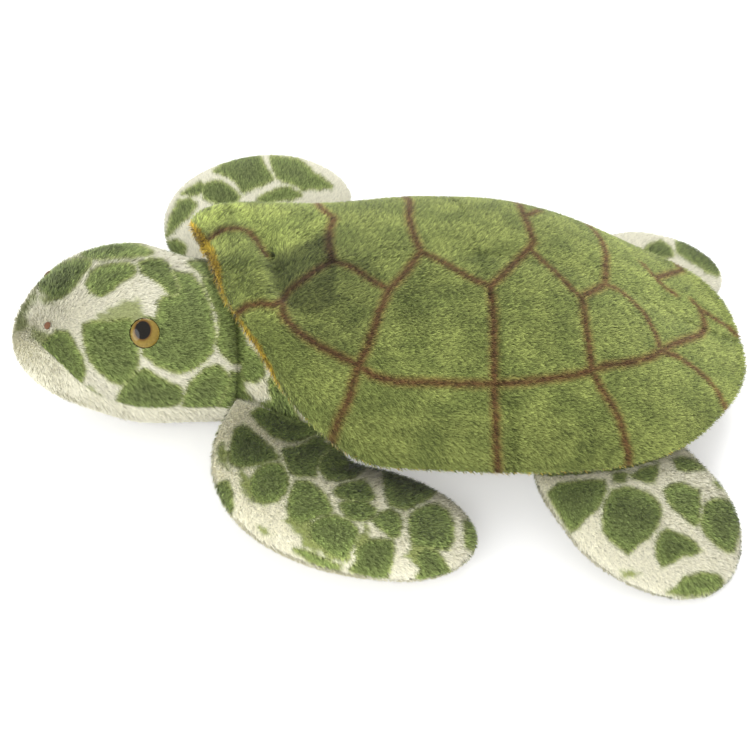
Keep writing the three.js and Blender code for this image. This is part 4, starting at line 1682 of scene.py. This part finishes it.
# Eyes
eyeShape = {
    "setback": 68.5,
    "turn": 37.7,
    "radius": 7.9,
    "rise": 3.0,
    "sunk": 1.8,
    "pupilAt": (0.2, 0.17),  # towards the nose and up, in shares of the radius
    "iris": ("#6C5A24", "#937C38"),
    "ring": "#5E421C",
    "pupil": "#14110C",
    "rim": "#1B130B",
}


def eyeMaterial():
    material, tree, shader = newMaterial("glassEye")
    pupil, centre = attributeOf(tree, "fromPupil"), attributeOf(tree, "fromCentre")
    fibres = noiseOf(tree, 900.0)
    iris = mixColours(tree, fibres, *map(colour, eyeShape["iris"]))
    ringed = mixColours(tree, mapped(tree, pupil, 0.5, 0.68), colour(eyeShape["ring"]), iris)
    pupilled = mixColours(tree, mapped(tree, pupil, 0.53, 0.47), ringed, colour(eyeShape["pupil"]))
    fillIn(tree, shader, {
        "Base Color": mixColours(
            tree, mapped(tree, centre, 0.9, 0.97), pupilled, colour(eyeShape["rim"])),
        "Roughness": mapped(tree, fibres, 0.0, 1.0, 0.06, 0.12),
        "Specular IOR Level": 0.15,
        "Coat Weight": 0.2,
        "Coat Roughness": 0.03,
    })
    return material


def grainedMaterial(name, scale, colours, roughness):
    material, tree, shader = newMaterial(name)
    grain = noiseOf(tree, scale)
    fillIn(tree, shader, {
        "Base Color": mixColours(tree, grain, *map(colour, colours)),
        "Roughness": mapped(tree, grain, 0.0, 1.0, *roughness),
    })
    return material


glassEye = eyeMaterial()
darkThread = grainedMaterial("darkThread", 2600.0, ("#3A2012", "#865630"), (0.45, 0.75))
washerPlastic = grainedMaterial("washerPlastic", 400.0, ("#D9D8D0", "#EDECE6"), (0.4, 0.6))


def headSpot(side, setback, turn):
    form = headForm()

    def at(further, higher):
        angle = math.radians(turn + higher)
        angle = np.array([angle if side > 0 else math.pi - angle])
        return sectionPoints(form, setback + further, angle, 0)[0]

    place = at(0, 0)
    forward = unit(at(-1, 0) - place)
    upward = unit(at(0, 1) - place)
    outward = unit(np.cross(forward, upward))
    outward *= math.copysign(1, outward[1] * side)
    upward = np.cross(outward, forward)
    return place, forward, upward * math.copysign(1, upward[2]), outward


def addEye(side, label):
    shape = eyeShape
    place, forward, upward, outward = headSpot(side, shape["setback"], shape["turn"])
    steps, columns = 12, 40
    profile = [(0.9, -1.2), (1.0, -0.6), (1.0, 0.0)]
    for i in range(1, steps + 1):
        turn = math.pi / 2 * i / steps
        profile.append((math.cos(turn), math.sin(turn)))
    angle = np.arange(columns) * 2 * math.pi / columns
    rings = []
    for share, lift in profile:
        radial = shape["radius"] * share
        height = (shape["rise"] * lift if lift > 0 else lift) - shape["sunk"]
        rings.append(place + outward * height + radial * (
            np.cos(angle)[:, None] * forward + np.sin(angle)[:, None] * upward))
    piece, _ = ringMesh(f"glassEye_{label}", rings, closeStart=True)
    piece.data.shade_smooth()
    local = turtlePoints(piece) - place
    x, y = local @ forward / shape["radius"], local @ upward / shape["radius"]
    pupilX, pupilY = shape["pupilAt"]
    writeAttribute(piece.data, "fromPupil", np.hypot(x - pupilX, (y - pupilY) * 0.85))
    writeAttribute(piece.data, "fromCentre", np.hypot(x, y))
    piece.data.materials.append(glassEye)
    settle(piece, "head", "eye", f"eye_{label}")


# Nostrils, each a knot of thread
nostrilShape = {
    "setback": 19.5,
    "turn": 52.5,
    "radius": 1.9,
    "rise": 0.9,
    "sunk": 0.6,
    "turns": 6,  # of thread across the knot
    "thread": 0.42,
}


def addNostril(side, label):
    shape = nostrilShape
    place, forward, upward, outward = headSpot(side, shape["setback"], shape["turn"])
    points, faces = [], []
    steps, around = 9, 6
    for row in range(shape["turns"]):
        across = (row + 0.5) / shape["turns"] * 2 - 1
        reach = shape["radius"] * math.sqrt(1 - across * across)
        first = len(points)
        for step in range(steps):
            swing = math.pi * step / (steps - 1)
            along = math.cos(swing)
            height = shape["rise"] * (1 - across * across * 0.5) * math.sin(swing) - shape["sunk"]
            middle = place + forward * across * shape["radius"] + upward * along * reach
            middle = middle + outward * height
            for corner in range(around):
                turn = 2 * math.pi * corner / around
                points.append(middle + shape["thread"] * (
                    math.cos(turn) * forward + math.sin(turn) * outward))
        for step in range(steps - 1):
            for corner in range(around):
                near = first + step * around + corner
                beside = first + step * around + (corner + 1) % around
                faces.append((near, beside, beside + around, near + around))
        faces.append(tuple(range(first + around - 1, first - 1, -1)))
        faces.append(tuple(range(first + (steps - 1) * around, first + steps * around)))
    piece = solidPiece(f"stitchedNostril_{label}", points, faces)
    piece.data.shade_smooth()
    piece.data.materials.append(darkThread)
    settle(piece, "head", "thread", f"nostril_{label}")


for side, label in ((-1, "left"), (1, "right")):
    addEye(side, label)
    addNostril(side, label)
    washer = bpy.data.objects[f"eye_washer_{label}"]
    washer.data.materials.clear()
    washer.data.materials.append(washerPlastic)
print("eyes and nostrils made")

dressHead()
dressShell()
dressBody()
for name in limbs:
    dressLimb(name)
    settle(skins[name], f"{name}_flipper", "mottled_plush",
           f"{name}_top", f"{name}_underside", f"{name}_filling")
settle(skins["head"], "head", "mottled_plush", "head_panel", "chin_panel", "head_filling")
settle(skins["body"], "body", "mottled_plush", "back_panel", "belly_panel", "body_filling")
settle(skins["shell"], "body", "shell_plush", "shell_cover", "shell_padding", "shell_lining")
print("pile done")


# Floor and lights
studio = {
    "sky": 0.92,
    "floorHalf": 4.0,
    "floorZ": -0.0006,
    "floorGlow": 0.32,
    "lamps": {
        "key": {"place": (0.35, 0.75, 1.3), "size": 0.9, "watts": 11.5},
        "fill": {"place": (-0.8, -1.3, 0.75), "size": 1.3, "watts": 20.0},
    },
}


# Strength for what the camera sees, straight, mirrored or through glass, and none for the rest
def whenSeen(tree, strength):
    path = addNode(tree, "ShaderNodeLightPath").outputs
    total = arithmetic(tree, "ADD", path["Is Camera Ray"], path["Is Glossy Ray"])
    either = arithmetic(tree, "ADD", total, path["Is Transmission Ray"])
    either.node.use_clamp = True
    return arithmetic(tree, "MULTIPLY", either, strength)


def addStudio():
    world = bpy.data.worlds.new("studio")
    scene.world = world
    world.use_nodes = True
    tree = world.node_tree
    fillIn(tree, tree.nodes["Background"], {
        "Color": (1, 1, 1, 1),
        "Strength": arithmetic(tree, "ADD", whenSeen(tree, 1 - studio["sky"]), studio["sky"]),
    })

    half, z = studio["floorHalf"], studio["floorZ"]
    mesh = bpy.data.meshes.new("floor")
    mesh.from_pydata([(-half, -half, z), (half, -half, z), (half, half, z), (-half, half, z)],
                     [], [(0, 1, 2, 3)])
    paper, tree, shader = newMaterial("paper")
    fillIn(tree, shader, {
        "Base Color": (0.86, 0.86, 0.86, 1),
        "Roughness": 0.95,
        "Emission Color": (1, 1, 1, 1),
        "Emission Strength": whenSeen(tree, studio["floorGlow"]),
    })
    mesh.materials.append(paper)
    linked("floor", mesh)

    for label, lamp in studio["lamps"].items():
        data = bpy.data.lights.new(label, "AREA")
        data.shape = "DISK"
        data.size = lamp["size"]
        data.energy = lamp["watts"]
        aim = (Vector((0, 0, 0.05)) - Vector(lamp["place"])).to_track_quat("-Z", "Y")
        linked(label, data).matrix_world = (
            Matrix.Translation(lamp["place"]) @ aim.to_matrix().to_4x4())


addStudio()
